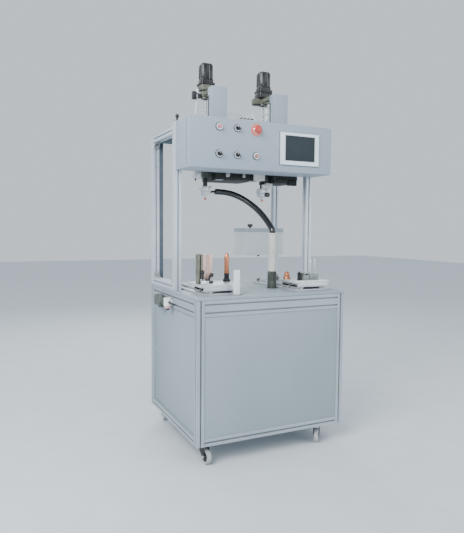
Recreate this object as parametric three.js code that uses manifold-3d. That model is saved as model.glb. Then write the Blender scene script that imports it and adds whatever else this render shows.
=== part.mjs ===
// Two-head spot welder: a castor-mounted cabinet of slotted aluminium profile with a table top,
// a profile gantry that carries a control box and two servo-driven welding heads, and two shuttle
// stations that carry the work from the front of the table back to a place under the heads.
// Millimetres, +Z up, front towards -Y. Inside the group, x = 0 is the cabinet's left side,
// y = 0 its front and z = 0 the floor.
import * as THREE from "three";
import { mergeVertices } from "three/addons/utils/BufferGeometryUtils.js";
import Module from "manifold-3d";

const wasm = await Module();
wasm.setup();

// ---- driving dimensions ----
// Touching pieces of different nodes keep this gap.
const GAP = 0.3;
// Sliding pieces keep this one.
const RUNNING_GAP = 0.6;

const WIDTH = 860;
const DEPTH = 750;
const TABLE_HEIGHT = 840;
const TABLE_THICK = 15;
const PROFILE = 40;
const RAIL_TALL = 2 * PROFILE;
const SLOT_WIDTH = 8;
const SLOT_CAVITY = 16;
const SLOT_LIP = 4.5;
const SLOT_DEPTH = 11;
const FAR_X = WIDTH - PROFILE;
const FAR_Y = DEPTH - PROFILE;
const TABLE_UNDER = TABLE_HEIGHT - TABLE_THICK;

const PANEL_THICK = 3;
const FRONT_PANEL_INSET = 3;
const SIDE_PANEL_INSET = 12;
const TRAY_THICK = 3;
const INLET_LEFT = 96;
const INLET_WIDTH = 28;
const INLET_TALL = 48;
const INLET_RISE = 133;

const WHEEL_RADIUS = 37.5;
const WHEEL_WIDTH = 25;
const CASTOR_HEADROOM = 28;
const CASTOR_HEIGHT = 2 * WHEEL_RADIUS + CASTOR_HEADROOM;
const CASTOR_INSET_LEFT = 62;
const CASTOR_INSET_RIGHT = 112;
const CASTOR_INSET_END = 70;
const CASTOR_PAD_WIDTH = 90;
const CASTOR_PAD_THICK = 4;
const PAD_LAP = 7;
const AXLE_RADIUS = 5;
const AXLE_CLEARANCE = 0.4;
const FORK_WALL = 3;
const FORK_CLEARANCE = 2;
const FORK_TRAIL = 30;
const FORK_EYE = 11;
const RACE_RADIUS = 27;
const RACE_THICK = 12;
const BODY_BOTTOM = CASTOR_HEIGHT;

const GANTRY_FRONT = 327;
const GANTRY_BACK = GANTRY_FRONT + PROFILE;
const GANTRY_TOP = TABLE_HEIGHT + 893;
const SIDE_BEAM_TOP = GANTRY_TOP - 23;
const DECK_THICK = 4;
const DECK_FLANGE = 44;
const DECK_FRONT = GANTRY_FRONT + 5;
const DECK_UNDER = SIDE_BEAM_TOP + GAP;
const DECK_TOP = DECK_UNDER + DECK_THICK;

const BOX_LEFT = 7;
const BOX_RIGHT = WIDTH - 4;
const BOX_FRONT = GANTRY_FRONT - 188;
const BOX_BOTTOM = GANTRY_TOP - 256;
const BOX_TOP = GANTRY_TOP;
const BOX_WALL = 2;

const PANEL_WIDTH = 246;
const PANEL_TALL = 174;
const PANEL_RIGHT = BOX_RIGHT - 86;
const PANEL_LEFT = PANEL_RIGHT - PANEL_WIDTH;
const PANEL_BOTTOM = BOX_BOTTOM + 39;
const PANEL_TOP = PANEL_BOTTOM + PANEL_TALL;
const PANEL_BEZEL = 9;
const SCREEN_INSET = { left: 38, right: 35, bottom: 30, top: 23 };
const SCREEN_DEPTH = 1.5;

const CONTROL_X = [BOX_LEFT + 163, BOX_LEFT + 265, BOX_LEFT + 375];
const CONTROL_Z = [BOX_TOP - 47, BOX_BOTTOM + 74];
const CONTROL_SHAFT = 10.6;
const CONTROL_HOLE = CONTROL_SHAFT + RUNNING_GAP;
const SHAFT_REACH = 14;
const BUTTON_RADIUS = 12.5;
const BUTTON_FRONT = 17;
const BUTTON_BACK = 8;
const KNOB_RADIUS = 14;
const KNOB_FRONT = 13;
const KNOB_BACK = 6;
const GRIP_WIDTH = 10;
const GRIP_LONG = 27;
const GRIP_FRONT = 24;
const MUSHROOM_RADIUS = 20;
const MUSHROOM_FRONT = 30;
const MUSHROOM_BACK = 14;
const SELECTOR_TURN = Math.PI / 4;

const SIDES = ["left", "right"];
const AXIS_X = [241, WIDTH - 249];
const AXIS_Y = GANTRY_FRONT + 163;
const COLUMN_X = [AXIS_X[0] + 16, AXIS_X[1] + 32];
const COLUMN_WIDTH = 90;
const COLUMN_DEPTH = 55;
const COLUMN_FRONT = DECK_FRONT + 2;
const COLUMN_TOP = GANTRY_TOP + 207;
const COLUMN_WALL = 3;

const MOUNT_BOTTOM = COLUMN_TOP - 40;
const MOUNT_TOP = COLUMN_TOP + 36;
const MOUNT_WIDTH = 74;
const MOUNT_SEAT = 30;
const MOUNT_ARM_WIDTH = 48;
const STOP_BLOCK_REACH = 68;
const STOP_BLOCK_DEPTH = 36;
const STOP_BLOCK_TALL = 38;
const BEARING_RADIUS = 30;
const GEARHEAD_WIDTH = 84;
const GEARHEAD_FLANGE = 14;
const GEARHEAD_TALL = 32;
const MOTOR_WIDTH = 66;
const MOTOR_TALL = 86;
const MOTOR_CAP = 6;
const SCREW_RADIUS = 7;

const GUIDE_WIDTH = 58;
const GUIDE_BOTTOM = GANTRY_TOP - 280;
const GUIDE_FLANGE = 84;
const GUIDE_FLANGE_THICK = 10;
const RAM_RADIUS = 13;
const RAM_TOP = GANTRY_TOP + 35;
const RAM_CLEARANCE = 0.4;
const SCREW_END = RAM_TOP - 156;
const CLAMP_TOP = GUIDE_BOTTOM - 41;
const CLAMP_BOTTOM = CLAMP_TOP - 52;
const CLAMP_WIDTH = 60;
const CLAMP_DEPTH = 46;
const ELECTRODE_RADIUS = 8;
const ELECTRODE_POINT = 3;
const ELECTRODE_TAPER = 8;
const ELECTRODE_TIP = CLAMP_BOTTOM - 26;
const LUG_RADIUS = 7;
const LUG_END = AXIS_X[0] + 61;
const LUG_HEIGHT = CLAMP_BOTTOM + 24;

const TRANSFORMER_LEFT = AXIS_X[0] + GUIDE_WIDTH / 2 + 12;
const TRANSFORMER_RIGHT = AXIS_X[1] - GUIDE_WIDTH / 2 - 58;
const TRANSFORMER_FRONT = DECK_FRONT + 72;
const TRANSFORMER_BACK = FAR_Y - 70;
const TRANSFORMER_TALL = 262;
const TRANSFORMER_WALL = 10;
const DRIVE_LEFT = AXIS_X[1] + GUIDE_WIDTH / 2 + 8;
const DRIVE_WIDTH = 152;
const DRIVE_BACK = FAR_Y - 110;
const DRIVE_TALL = 267;
const SHEET = 3;
const ENTRY_RADIUS = 12;
const ENTRY_RISE = 30;

const HOSE_RADIUS = 17;
const HOSE_SIDES = 12;
const HOSE_STEPS = 16;
const STANDPIPE_X = AXIS_X[1] - 61;
const STANDPIPE_Y = 250;
const STANDPIPE_TOP = TABLE_HEIGHT + 310;
const STANDPIPE_RADIUS = HOSE_RADIUS + 5;
const STANDPIPE_FOOT_RADIUS = STANDPIPE_RADIUS + 7;
const STANDPIPE_FOOT_TALL = 96;
const COLLAR_TALL = 28;
const COLLAR_DROP = 8;

const POWER_WIDTH = 274;
const POWER_DEPTH = 149;
const POWER_TALL = 166;
const POWER_RIGHT = FAR_X - 14;
const POWER_LEFT = POWER_RIGHT - POWER_WIDTH;
const POWER_BACK = FAR_Y - 1;
const POWER_FRONT = POWER_BACK - POWER_DEPTH;
const POWER_BOTTOM = TABLE_HEIGHT + 170;
const POWER_TOP = POWER_BOTTOM + POWER_TALL;
const FLANGE_LAP = 30;
const FLANGE_INSET = 10;
const DIAL_RADIUS = 16;
const DIAL_STEM = 6;

const BASE_OUTER = 186;
const BASE_INNER = 26;
const BASE_FRONT = 50;
const BASE_BACK = AXIS_Y + 55;
const BASE_THICK = 10;
const SHUTTLE_RAIL_WIDTH = 12;
const SHUTTLE_RAIL_TALL = 10;
const SHUTTLE_RAIL_INSET = 2;
const SHUTTLE_RAIL_OFFSET = [36 - BASE_OUTER, 16 - BASE_INNER];
const CARRIAGE_FRONT = BASE_FRONT + 6;
const CARRIAGE_BACK = CARRIAGE_FRONT + 176;
const CARRIAGE_TOP = TABLE_HEIGHT + 40;
const PLATE_THICK = 15;
const PLATE_OUTER = BASE_OUTER + 12;
const PLATE_INNER = BASE_INNER - 2;
const PLATE_FRONT = CARRIAGE_FRONT + 10;
const PLATE_BACK = CARRIAGE_BACK + 6;
const JIG_BACK = { width: 24, front: 96, back: 134, tall: 150 };
const JIG_NEST = { width: 51, front: 92, back: 138, tall: 148 };
const JIG_BLOCK = { inset: 40, width: 56, front: 96, back: 150, tall: 34 };
const JIG_ROD_RADIUS = 4;
const JIG_ROD_TALL = 112;
const JIG_ROD_SPREAD = 30;
const LOWER_ELECTRODE_Y = CARRIAGE_BACK - 42;
const LOWER_ELECTRODE_FOOT = 20;
const LOWER_ELECTRODE_RADIUS = 14;
const LOWER_ELECTRODE_TALL = [141, 32];
const LOWER_ELECTRODE_DOME = 10;
const GUARD_WIDTH = 34;
const GUARD_FRONT = 18;
const GUARD_TALL = 128;
const GUARD_SETBACK = 22;

const AIR_REACH = 46;
const FILTER_BACK = DEPTH - 180;
const FILTER_FRONT = FILTER_BACK - 110;
const FILTER_BOTTOM = TABLE_HEIGHT - 104;
const FILTER_TALL = 64;
const FILTER_REACH = 40;
const BOWL_RADIUS = 22;
const BOWL_Y = FILTER_FRONT - 92;
const BOWL_TALL = 56;
const AIR_PIPE_RADIUS = 7;
const DRAIN_RADIUS = 8;

// ---- materials ----
function finish(color, roughness, metalness) {
  return new THREE.MeshStandardMaterial({ color, roughness, metalness });
}

const aluminium = finish(0xd5dde2, 0.4, 0.85);
const panelGrey = finish(0xb9c4ca, 0.5, 0.3);
const boxGrey = finish(0xaab6c0, 0.5, 0.1);
const steel = finish(0xb4b8ba, 0.35, 0.9);
const blackPaint = finish(0x26282a, 0.5, 0.1);
const castGrey = finish(0x86887a, 0.6, 0.3);
const copper = finish(0xc07a56, 0.35, 0.9);
const rubber = finish(0x1b1c1e, 0.7, 0.0);
const greyTread = finish(0x8f9494, 0.6, 0.0);
const beige = finish(0xc2c8c0, 0.5, 0.1);
const redPlastic = finish(0xc8402e, 0.35, 0.0);
const blackPlastic = finish(0x222426, 0.4, 0.0);

// ---- shapes ----
const machine = new THREE.Group();

function add(name, geometry, material) {
  const mesh = new THREE.Mesh(geometry, material);
  mesh.name = name;
  machine.add(mesh);
}

function block(x0, x1, y0, y1, z0, z1) {
  const box = new THREE.BoxGeometry(x1 - x0, y1 - y0, z1 - z0);
  return box.translate((x0 + x1) / 2, (y0 + y1) / 2, (z0 + z1) / 2);
}

// A round bar with its axis along Z.
function round(radius, x, y, z0, z1, sides = 24, topRadius = radius) {
  const bar = new THREE.CylinderGeometry(topRadius, radius, z1 - z0, sides);
  return bar.rotateX(Math.PI / 2).translate(x, y, (z0 + z1) / 2);
}

// A round bar with its axis along Y, from y0 back to y1.
function roundAlongY(radius, x, z, y0, y1, sides = 24) {
  const bar = new THREE.CylinderGeometry(radius, radius, y1 - y0, sides);
  return bar.translate(x, (y0 + y1) / 2, z);
}

// A round bar with its axis along X, from x0 to x1.
function roundAlongX(radius, x0, x1, y, z, sides = 24) {
  const bar = new THREE.CylinderGeometry(radius, radius, x1 - x0, sides);
  return bar.rotateZ(Math.PI / 2).translate((x0 + x1) / 2, y, z);
}

function solidOf(geometry) {
  const bare = geometry.clone();
  bare.deleteAttribute("normal");
  bare.deleteAttribute("uv");
  const merged = mergeVertices(bare, 1e-4);
  const triVerts = new Uint32Array(merged.index.array);
  const vertProperties = new Float32Array(merged.attributes.position.array);
  return new wasm.Manifold(new wasm.Mesh({ numProp: 3, vertProperties, triVerts }));
}

function geometryOf(solid) {
  const mesh = solid.getMesh();
  const geometry = new THREE.BufferGeometry();
  geometry.setAttribute("position", new THREE.BufferAttribute(mesh.vertProperties, 3));
  geometry.setIndex(new THREE.BufferAttribute(mesh.triVerts, 1));
  return geometry;
}

function join(...pieces) {
  return geometryOf(pieces.map(solidOf).reduce((whole, piece) => whole.add(piece)));
}

function cut(body, ...tools) {
  return geometryOf(tools.map(solidOf).reduce((rest, tool) => rest.subtract(tool), solidOf(body)));
}

// The outline of one side of a slotted profile, one T-slot in the middle of each module.
function sidePoints(length, toward, out) {
  const points = [];
  for (let centre = -length / 2 + PROFILE / 2; centre < length / 2; centre += PROFILE) {
    const slot = [
      [-SLOT_WIDTH / 2, 0],
      [-SLOT_WIDTH / 2, SLOT_LIP],
      [-SLOT_CAVITY / 2, SLOT_LIP],
      [-SLOT_WIDTH / 2, SLOT_DEPTH],
      [SLOT_WIDTH / 2, SLOT_DEPTH],
      [SLOT_CAVITY / 2, SLOT_LIP],
      [SLOT_WIDTH / 2, SLOT_LIP],
      [SLOT_WIDTH / 2, 0],
    ];
    for (const [along, deep] of slot) {
      const step = centre + along;
      points.push(toward.clone().multiplyScalar(step).addScaledVector(out, -deep));
    }
  }
  return points;
}

function profileShape(width, height) {
  const points = [];
  const sides = [
    [width, new THREE.Vector2(1, 0), new THREE.Vector2(0, -1), height / 2],
    [height, new THREE.Vector2(0, 1), new THREE.Vector2(1, 0), width / 2],
    [width, new THREE.Vector2(-1, 0), new THREE.Vector2(0, 1), height / 2],
    [height, new THREE.Vector2(0, -1), new THREE.Vector2(-1, 0), width / 2],
  ];
  for (const [length, toward, out, reach] of sides) {
    const corner = toward.clone().multiplyScalar(-length / 2).addScaledVector(out, reach);
    points.push(corner);
    for (const point of sidePoints(length, toward, out)) {
      points.push(point.addScaledVector(out, reach));
    }
  }
  return new THREE.Shape(points);
}

// A slotted profile bar whose section is width by height and which fills the given length.
function bar(width, height, length) {
  const options = { depth: length, bevelEnabled: false };
  return new THREE.ExtrudeGeometry(profileShape(width, height), options);
}

function uprightBar(x, y, z0, z1) {
  const centre = PROFILE / 2;
  return bar(PROFILE, PROFILE, z1 - z0).translate(x + centre, y + centre, z0);
}

// A bar along X whose section is PROFILE deep and tall high, with its top at z.
function barAlongX(x0, x1, y, top, tall) {
  const lying = bar(tall, PROFILE, x1 - x0).rotateY(Math.PI / 2);
  return lying.translate(x0, y + PROFILE / 2, top - tall / 2);
}

function barAlongY(y0, y1, x, top, tall) {
  const lying = bar(PROFILE, tall, y1 - y0).rotateX(-Math.PI / 2);
  return lying.translate(x + PROFILE / 2, y0, top - tall / 2);
}

function mirrored(side, axisX, outer, inner) {
  return side === 0 ? [axisX - outer, axisX + inner] : [axisX - inner, axisX + outer];
}

// Pieces of one welded or screwed node run this far into each other.
const WELD_LAP = 1;

// ---- cabinet ----
const CORNERS = [
  ["front_left", 0, 0],
  ["front_right", FAR_X, 0],
  ["rear_left", 0, FAR_Y],
  ["rear_right", FAR_X, FAR_Y],
];

function cabinetPosts() {
  for (const [corner, x, y] of CORNERS) {
    const post = uprightBar(x, y, BODY_BOTTOM + GAP, TABLE_UNDER - GAP);
    add(`cabinet_post_${corner}`, post, aluminium);
  }
}

function cabinetRails() {
  const top = TABLE_UNDER - GAP;
  const start = PROFILE + GAP;
  add("top_rail_front", barAlongX(start, FAR_X - GAP, 0, top, RAIL_TALL), aluminium);
  add("top_rail_rear", barAlongX(start, FAR_X - GAP, FAR_Y, top, RAIL_TALL), aluminium);
  add("top_rail_left", barAlongY(start, FAR_Y - GAP, 0, top, RAIL_TALL), aluminium);
  add("top_rail_right", barAlongY(start, FAR_Y - GAP, FAR_X, top, RAIL_TALL), aluminium);
}

const CASTOR_PLACES = [
  ["front_left", CASTOR_INSET_LEFT, CASTOR_INSET_END, 8],
  ["front_right", WIDTH - CASTOR_INSET_RIGHT, CASTOR_INSET_END, -38],
  ["rear_left", CASTOR_INSET_LEFT, DEPTH - CASTOR_INSET_END, 160],
  ["rear_right", WIDTH - CASTOR_INSET_RIGHT, DEPTH - CASTOR_INSET_END, 205],
];

function baseFrame() {
  const start = PROFILE + GAP;
  const top = BODY_BOTTOM + PROFILE;
  const tray = [top - WELD_LAP, top + TRAY_THICK];
  const pieces = [
    barAlongX(start, FAR_X - GAP, 0, top, PROFILE),
    barAlongX(start, FAR_X - GAP, FAR_Y, top, PROFILE),
    barAlongY(start, FAR_Y - GAP, 0, top, PROFILE),
    barAlongY(start, FAR_Y - GAP, FAR_X, top, PROFILE),
    block(start, FAR_X - GAP, PROFILE / 2, DEPTH - PROFILE / 2, ...tray),
    block(PROFILE / 2, WIDTH - PROFILE / 2, start, FAR_Y - GAP, ...tray),
  ];
  const across = CASTOR_PAD_WIDTH / 2;
  const deep = CASTOR_INSET_END - PROFILE + PAD_LAP;
  const level = [BODY_BOTTOM - CASTOR_PAD_THICK, BODY_BOTTOM + WELD_LAP / 10];
  for (const [, x, y] of CASTOR_PLACES) {
    pieces.push(block(x - across, x + across, y - deep, y + deep, ...level));
  }
  add("base_frame", join(...pieces), aluminium);
}

function cabinetPanels() {
  const high = TABLE_UNDER - GAP - RAIL_TALL - GAP;
  const start = PROFILE + GAP;
  const frontBack = FRONT_PANEL_INSET + PANEL_THICK;
  const frontLow = BODY_BOTTOM + PROFILE + GAP;
  const across = [start, FAR_X - GAP];
  const level = [frontLow, high];
  add("front_panel", block(...across, FRONT_PANEL_INSET, frontBack, ...level), panelGrey);
  const rearOuter = DEPTH - SIDE_PANEL_INSET;
  const rear = block(...across, rearOuter - PANEL_THICK, rearOuter, ...level);
  const inletLow = BODY_BOTTOM + INLET_RISE;
  const inlet = block(
    INLET_LEFT,
    INLET_LEFT + INLET_WIDTH,
    rearOuter - PANEL_THICK - 1,
    rearOuter + 1,
    inletLow,
    inletLow + INLET_TALL,
  );
  add("rear_panel", cut(rear, inlet), panelGrey);
  const inner = SIDE_PANEL_INSET + PANEL_THICK;
  const far = [WIDTH - inner, WIDTH - SIDE_PANEL_INSET];
  const span = [start, FAR_Y - GAP, ...level];
  add("left_panel", block(SIDE_PANEL_INSET, inner, ...span), panelGrey);
  add("right_panel", block(...far, ...span), panelGrey);
}

function tableTop() {
  add("table_top", block(0, WIDTH, 0, DEPTH, TABLE_UNDER, TABLE_HEIGHT), panelGrey);
}

// ---- castors ----
// Inside the castor's own group the swivel axis is z and the wheel trails towards -y.
function forkGeometry() {
  const inner = WHEEL_WIDTH / 2 + FORK_CLEARANCE;
  const outer = inner + FORK_WALL;
  const crownTop = CASTOR_HEIGHT - CASTOR_PAD_THICK - GAP;
  const crownLow = crownTop - RACE_THICK;
  const legShape = new THREE.Shape();
  legShape.moveTo(RACE_RADIUS - 2, crownLow + FORK_WALL);
  legShape.lineTo(RACE_RADIUS - 4, crownLow - 8);
  legShape.quadraticCurveTo(-2, WHEEL_RADIUS + 14, -FORK_TRAIL + 10, WHEEL_RADIUS - 10);
  legShape.absarc(-FORK_TRAIL, WHEEL_RADIUS, FORK_EYE, -Math.PI / 4, -Math.PI, true);
  const crownBack = [-RACE_RADIUS + 2, crownLow + FORK_WALL];
  legShape.quadraticCurveTo(-FORK_TRAIL - FORK_EYE - 1, crownLow - 14, ...crownBack);
  const options = { depth: FORK_WALL, bevelEnabled: false, curveSegments: 8 };
  const leg = new THREE.ExtrudeGeometry(legShape, options);
  leg.rotateX(Math.PI / 2).rotateZ(Math.PI / 2);
  const crown = block(-outer, outer, -RACE_RADIUS, RACE_RADIUS, crownLow, crownLow + FORK_WALL);
  return join(
    leg.clone().translate(-outer, 0, 0),
    leg.clone().translate(inner, 0, 0),
    crown,
    round(RACE_RADIUS, 0, 0, crownLow + WELD_LAP, crownTop),
    roundAlongX(AXLE_RADIUS, -outer - FORK_WALL, outer + FORK_WALL, -FORK_TRAIL, WHEEL_RADIUS, 12),
  );
}

// A moulded wheel: hub, dished web on each side, and a rim whose tread is slightly crowned.
function wheelGeometry() {
  const bore = AXLE_RADIUS + AXLE_CLEARANCE;
  const half = WHEEL_WIDTH / 2;
  const dish = 3;
  const hub = 12;
  const web = 24;
  const edge = 4;
  const face = [
    [bore, half],
    [hub, half],
    [hub + 2, half - dish],
    [web, half - dish],
    [web + 2, half],
    [WHEEL_RADIUS - edge, half],
    [WHEEL_RADIUS - 1, half - edge],
  ];
  const nearSide = face.map(([radius, along]) => new THREE.Vector2(radius, -along));
  const farSide = face.map(([radius, along]) => new THREE.Vector2(radius, along)).reverse();
  const points = [...nearSide, new THREE.Vector2(WHEEL_RADIUS, 0), ...farSide, nearSide[0].clone()];
  const wheel = new THREE.LatheGeometry(points, 32);
  return wheel.rotateZ(Math.PI / 2).translate(0, -FORK_TRAIL, WHEEL_RADIUS);
}

function castors() {
  for (const [corner, x, y, heading] of CASTOR_PLACES) {
    const turn = THREE.MathUtils.degToRad(heading);
    add(`castor_fork_${corner}`, forkGeometry().rotateZ(turn).translate(x, y, 0), blackPaint);
    add(`castor_wheel_${corner}`, wheelGeometry().rotateZ(turn).translate(x, y, 0), greyTread);
  }
}

// ---- gantry ----
function gantry() {
  const low = TABLE_HEIGHT + GAP;
  const posts = [
    ["front_left", 0, GANTRY_FRONT, GANTRY_TOP],
    ["front_right", FAR_X, GANTRY_FRONT, GANTRY_TOP],
    ["rear_left", 0, FAR_Y, SIDE_BEAM_TOP],
    ["rear_right", FAR_X, FAR_Y, SIDE_BEAM_TOP],
  ];
  for (const [corner, x, y, top] of posts) {
    add(`gantry_post_${corner}`, uprightBar(x, y, low, top), aluminium);
  }
  const span = [GANTRY_BACK + GAP, FAR_Y - GAP];
  add("side_beam_left", barAlongY(...span, 0, SIDE_BEAM_TOP, PROFILE), aluminium);
  add("side_beam_right", barAlongY(...span, FAR_X, SIDE_BEAM_TOP, PROFILE), aluminium);
  add("foot_beam_left", barAlongY(...span, 0, low + PROFILE, PROFILE), aluminium);
}

// A folded steel deck that bridges the side beams, with its front and rear edges turned down.
function deck() {
  const low = DECK_UNDER;
  const inside = [PROFILE + 1, FAR_X - 1];
  const wings = [GANTRY_BACK + 1, FAR_Y - 1];
  const hang = [DECK_TOP - DECK_FLANGE, DECK_TOP];
  const folded = join(
    block(...inside, DECK_FRONT, wings[1], low, DECK_TOP),
    block(2, WIDTH - 2, ...wings, low, DECK_TOP),
    block(...inside, DECK_FRONT, DECK_FRONT + DECK_THICK, ...hang),
    block(...inside, wings[1] - DECK_THICK, wings[1], ...hang),
  );
  const holes = AXIS_X.map((x) => {
    const half = GUIDE_WIDTH / 2 + 1;
    return block(x - half, x + half, AXIS_Y - half, AXIS_Y + half, low - 1, DECK_TOP + 1);
  });
  add("deck_plate", cut(folded, ...holes), boxGrey);
}

// ---- control box and its controls ----
const CONTROLS = [
  ["start_button", 0, 0, "push"],
  ["mode_selector", 1, 0, "selector"],
  ["emergency_stop", 2, 0, "mushroom"],
  ["left_head_selector", 0, 1, "selector"],
  ["right_head_selector", 1, 1, "selector"],
  ["reset_button", 2, 1, "push"],
];

function controlBox() {
  const inset = BOX_WALL;
  const back = GANTRY_FRONT - GAP;
  const shell = block(BOX_LEFT, BOX_RIGHT, BOX_FRONT, back, BOX_BOTTOM, BOX_TOP);
  const hollow = block(
    BOX_LEFT + inset,
    BOX_RIGHT - inset,
    BOX_FRONT + inset,
    back - inset,
    BOX_BOTTOM + inset,
    BOX_TOP - inset,
  );
  const holes = CONTROLS.map(([, column, row]) => {
    const place = [CONTROL_X[column], CONTROL_Z[row]];
    return roundAlongY(CONTROL_HOLE, ...place, BOX_FRONT - 1, BOX_FRONT + BOX_WALL + 1, 20);
  });
  add("control_box", cut(shell, hollow, ...holes), boxGrey);
}

function touchPanel() {
  const face = BOX_FRONT - PANEL_BEZEL;
  const body = block(PANEL_LEFT, PANEL_RIGHT, face, BOX_FRONT - GAP, PANEL_BOTTOM, PANEL_TOP);
  const screen = block(
    PANEL_LEFT + SCREEN_INSET.left,
    PANEL_RIGHT - SCREEN_INSET.right,
    face - 1,
    face + SCREEN_DEPTH,
    PANEL_BOTTOM + SCREEN_INSET.bottom,
    PANEL_TOP - SCREEN_INSET.top,
  );
  add("touch_panel", cut(body, screen), aluminium);
}

// A disc that stands in front of the box, with a shaft through the control's hole.
function knob(radius, x, z, front, back, sides) {
  return [
    roundAlongY(radius, x, z, BOX_FRONT - front, BOX_FRONT - back, sides),
    roundAlongY(CONTROL_SHAFT, x, z, BOX_FRONT - back - WELD_LAP, BOX_FRONT + SHAFT_REACH, 16),
  ];
}

function pushButton(x, z) {
  return join(...knob(BUTTON_RADIUS, x, z, BUTTON_FRONT, BUTTON_BACK, 20));
}

// The grip stands upright on the knob, then turns to the switch's first position.
function selector(x, z) {
  const front = BOX_FRONT - GRIP_FRONT;
  const back = BOX_FRONT - KNOB_FRONT + WELD_LAP;
  const grip = block(-GRIP_WIDTH / 2, GRIP_WIDTH / 2, front, back, -GRIP_LONG / 2, GRIP_LONG / 2);
  const handle = grip.rotateY(-SELECTOR_TURN).translate(x, 0, z);
  return join(...knob(KNOB_RADIUS, x, z, KNOB_FRONT, KNOB_BACK, 20), handle);
}

function mushroom(x, z) {
  return join(...knob(MUSHROOM_RADIUS, x, z, MUSHROOM_FRONT, MUSHROOM_BACK, 24));
}

function controls() {
  const makers = { push: pushButton, selector, mushroom };
  for (const [name, column, row, kind] of CONTROLS) {
    const geometry = makers[kind](CONTROL_X[column], CONTROL_Z[row]);
    add(name, geometry, kind === "selector" ? blackPlastic : redPlastic);
  }
}

// ---- welding axes ----
function column(side) {
  const x = COLUMN_X[side];
  const half = COLUMN_WIDTH / 2;
  const back = COLUMN_FRONT + COLUMN_DEPTH;
  const low = DECK_TOP + GAP;
  const shell = block(x - half, x + half, COLUMN_FRONT, back, low, COLUMN_TOP);
  const inner = half - COLUMN_WALL;
  const bore = [COLUMN_FRONT + COLUMN_WALL, back - COLUMN_WALL, low - 1, COLUMN_TOP - COLUMN_WALL];
  add(`axis_column_${SIDES[side]}`, cut(shell, block(x - inner, x + inner, ...bore)), boxGrey);
}

// The cast bracket on the back of the column: it holds the screw's bearing and the gearhead. The right one is cast
// with a longer block on its left, which carries the stop sensor.
function motorMount(side) {
  const x = AXIS_X[side];
  const half = MOUNT_WIDTH / 2;
  const columnBack = COLUMN_FRONT + COLUMN_DEPTH + GAP;
  const reach = MOUNT_ARM_WIDTH / 2;
  const level = [MOUNT_TOP - MOUNT_SEAT, MOUNT_TOP];
  const seat = block(x - half, x + half, AXIS_Y - half, AXIS_Y + half, ...level);
  const bearing = round(BEARING_RADIUS, x, AXIS_Y, MOUNT_BOTTOM, level[0] + WELD_LAP, 20);
  const arm = block(x - reach, x + reach, columnBack, AXIS_Y, MOUNT_BOTTOM + 12, COLUMN_TOP - 6);
  const screw = round(SCREW_RADIUS, x, AXIS_Y, SCREW_END, MOUNT_BOTTOM + WELD_LAP, 12);
  const pieces = [seat, bearing, arm, screw];
  if (side === 1) {
    const y = [AXIS_Y - STOP_BLOCK_DEPTH / 2, AXIS_Y + STOP_BLOCK_DEPTH / 2];
    pieces.push(block(x - STOP_BLOCK_REACH, x, ...y, MOUNT_BOTTOM, MOUNT_BOTTOM + STOP_BLOCK_TALL));
  }
  add(`motor_mount_${SIDES[side]}`, join(...pieces), castGrey);
}

function chamferedSquare(width, chamfer) {
  const half = width / 2;
  const flat = half - chamfer;
  const outline = [
    [flat, -half],
    [half, -flat],
    [half, flat],
    [flat, half],
    [-flat, half],
    [-half, flat],
    [-half, -flat],
    [-flat, -half],
  ];
  return new THREE.Shape(outline.map(([x, y]) => new THREE.Vector2(x, y)));
}

function squarePrism(width, chamfer, x, y, z0, z1) {
  const options = { depth: z1 - z0, bevelEnabled: false };
  return new THREE.ExtrudeGeometry(chamferedSquare(width, chamfer), options).translate(x, y, z0);
}

function servoMotor(side) {
  const place = [AXIS_X[side], AXIS_Y];
  const low = MOUNT_TOP + GAP;
  const middle = low + GEARHEAD_TALL;
  const top = middle + MOTOR_TALL;
  const motor = join(
    squarePrism(GEARHEAD_WIDTH, 10, ...place, low, low + GEARHEAD_FLANGE),
    squarePrism(GEARHEAD_WIDTH - 14, 12, ...place, low + GEARHEAD_FLANGE - WELD_LAP, middle),
    squarePrism(MOTOR_WIDTH, 9, ...place, middle - WELD_LAP, top - MOTOR_CAP),
    squarePrism(MOTOR_WIDTH - 10, 9, ...place, top - MOTOR_CAP - WELD_LAP, top),
  );
  add(`servo_motor_${SIDES[side]}`, motor, blackPaint);
}

function ramGuide(side) {
  const x = AXIS_X[side];
  const half = GUIDE_WIDTH / 2;
  const wide = GUIDE_FLANGE / 2;
  const low = DECK_TOP + GAP;
  const high = low + GUIDE_FLANGE_THICK;
  const body = join(
    block(x - half, x + half, AXIS_Y - half, AXIS_Y + half, GUIDE_BOTTOM, high),
    block(x - wide, x + wide, AXIS_Y - wide, AXIS_Y + wide, low, high),
  );
  const bore = round(RAM_RADIUS + RAM_CLEARANCE, x, AXIS_Y, GUIDE_BOTTOM - 1, high + 1);
  add(`ram_guide_${SIDES[side]}`, cut(body, bore), steel);
}

function weldHead(side) {
  const x = AXIS_X[side];
  const half = CLAMP_WIDTH / 2;
  const deep = CLAMP_DEPTH / 2;
  const taperTop = ELECTRODE_TIP + ELECTRODE_TAPER;
  const pieces = [
    round(RAM_RADIUS, x, AXIS_Y, CLAMP_TOP - WELD_LAP, RAM_TOP),
    block(x - half, x + half, AXIS_Y - deep, AXIS_Y + deep, CLAMP_BOTTOM, CLAMP_TOP),
    round(ELECTRODE_RADIUS, x, AXIS_Y, taperTop, CLAMP_BOTTOM + WELD_LAP, 16),
    round(ELECTRODE_POINT, x, AXIS_Y, ELECTRODE_TIP, taperTop, 16, ELECTRODE_RADIUS),
  ];
  if (side === 0) {
    pieces.push(roundAlongX(LUG_RADIUS, x + half - WELD_LAP, LUG_END, AXIS_Y, LUG_HEIGHT, 12));
  }
  const screwBore = round(SCREW_RADIUS + 1, x, AXIS_Y, CLAMP_TOP + 10, RAM_TOP + 1, 16);
  add(`weld_head_${SIDES[side]}`, cut(join(...pieces), screwBore), steel);
}

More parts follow.
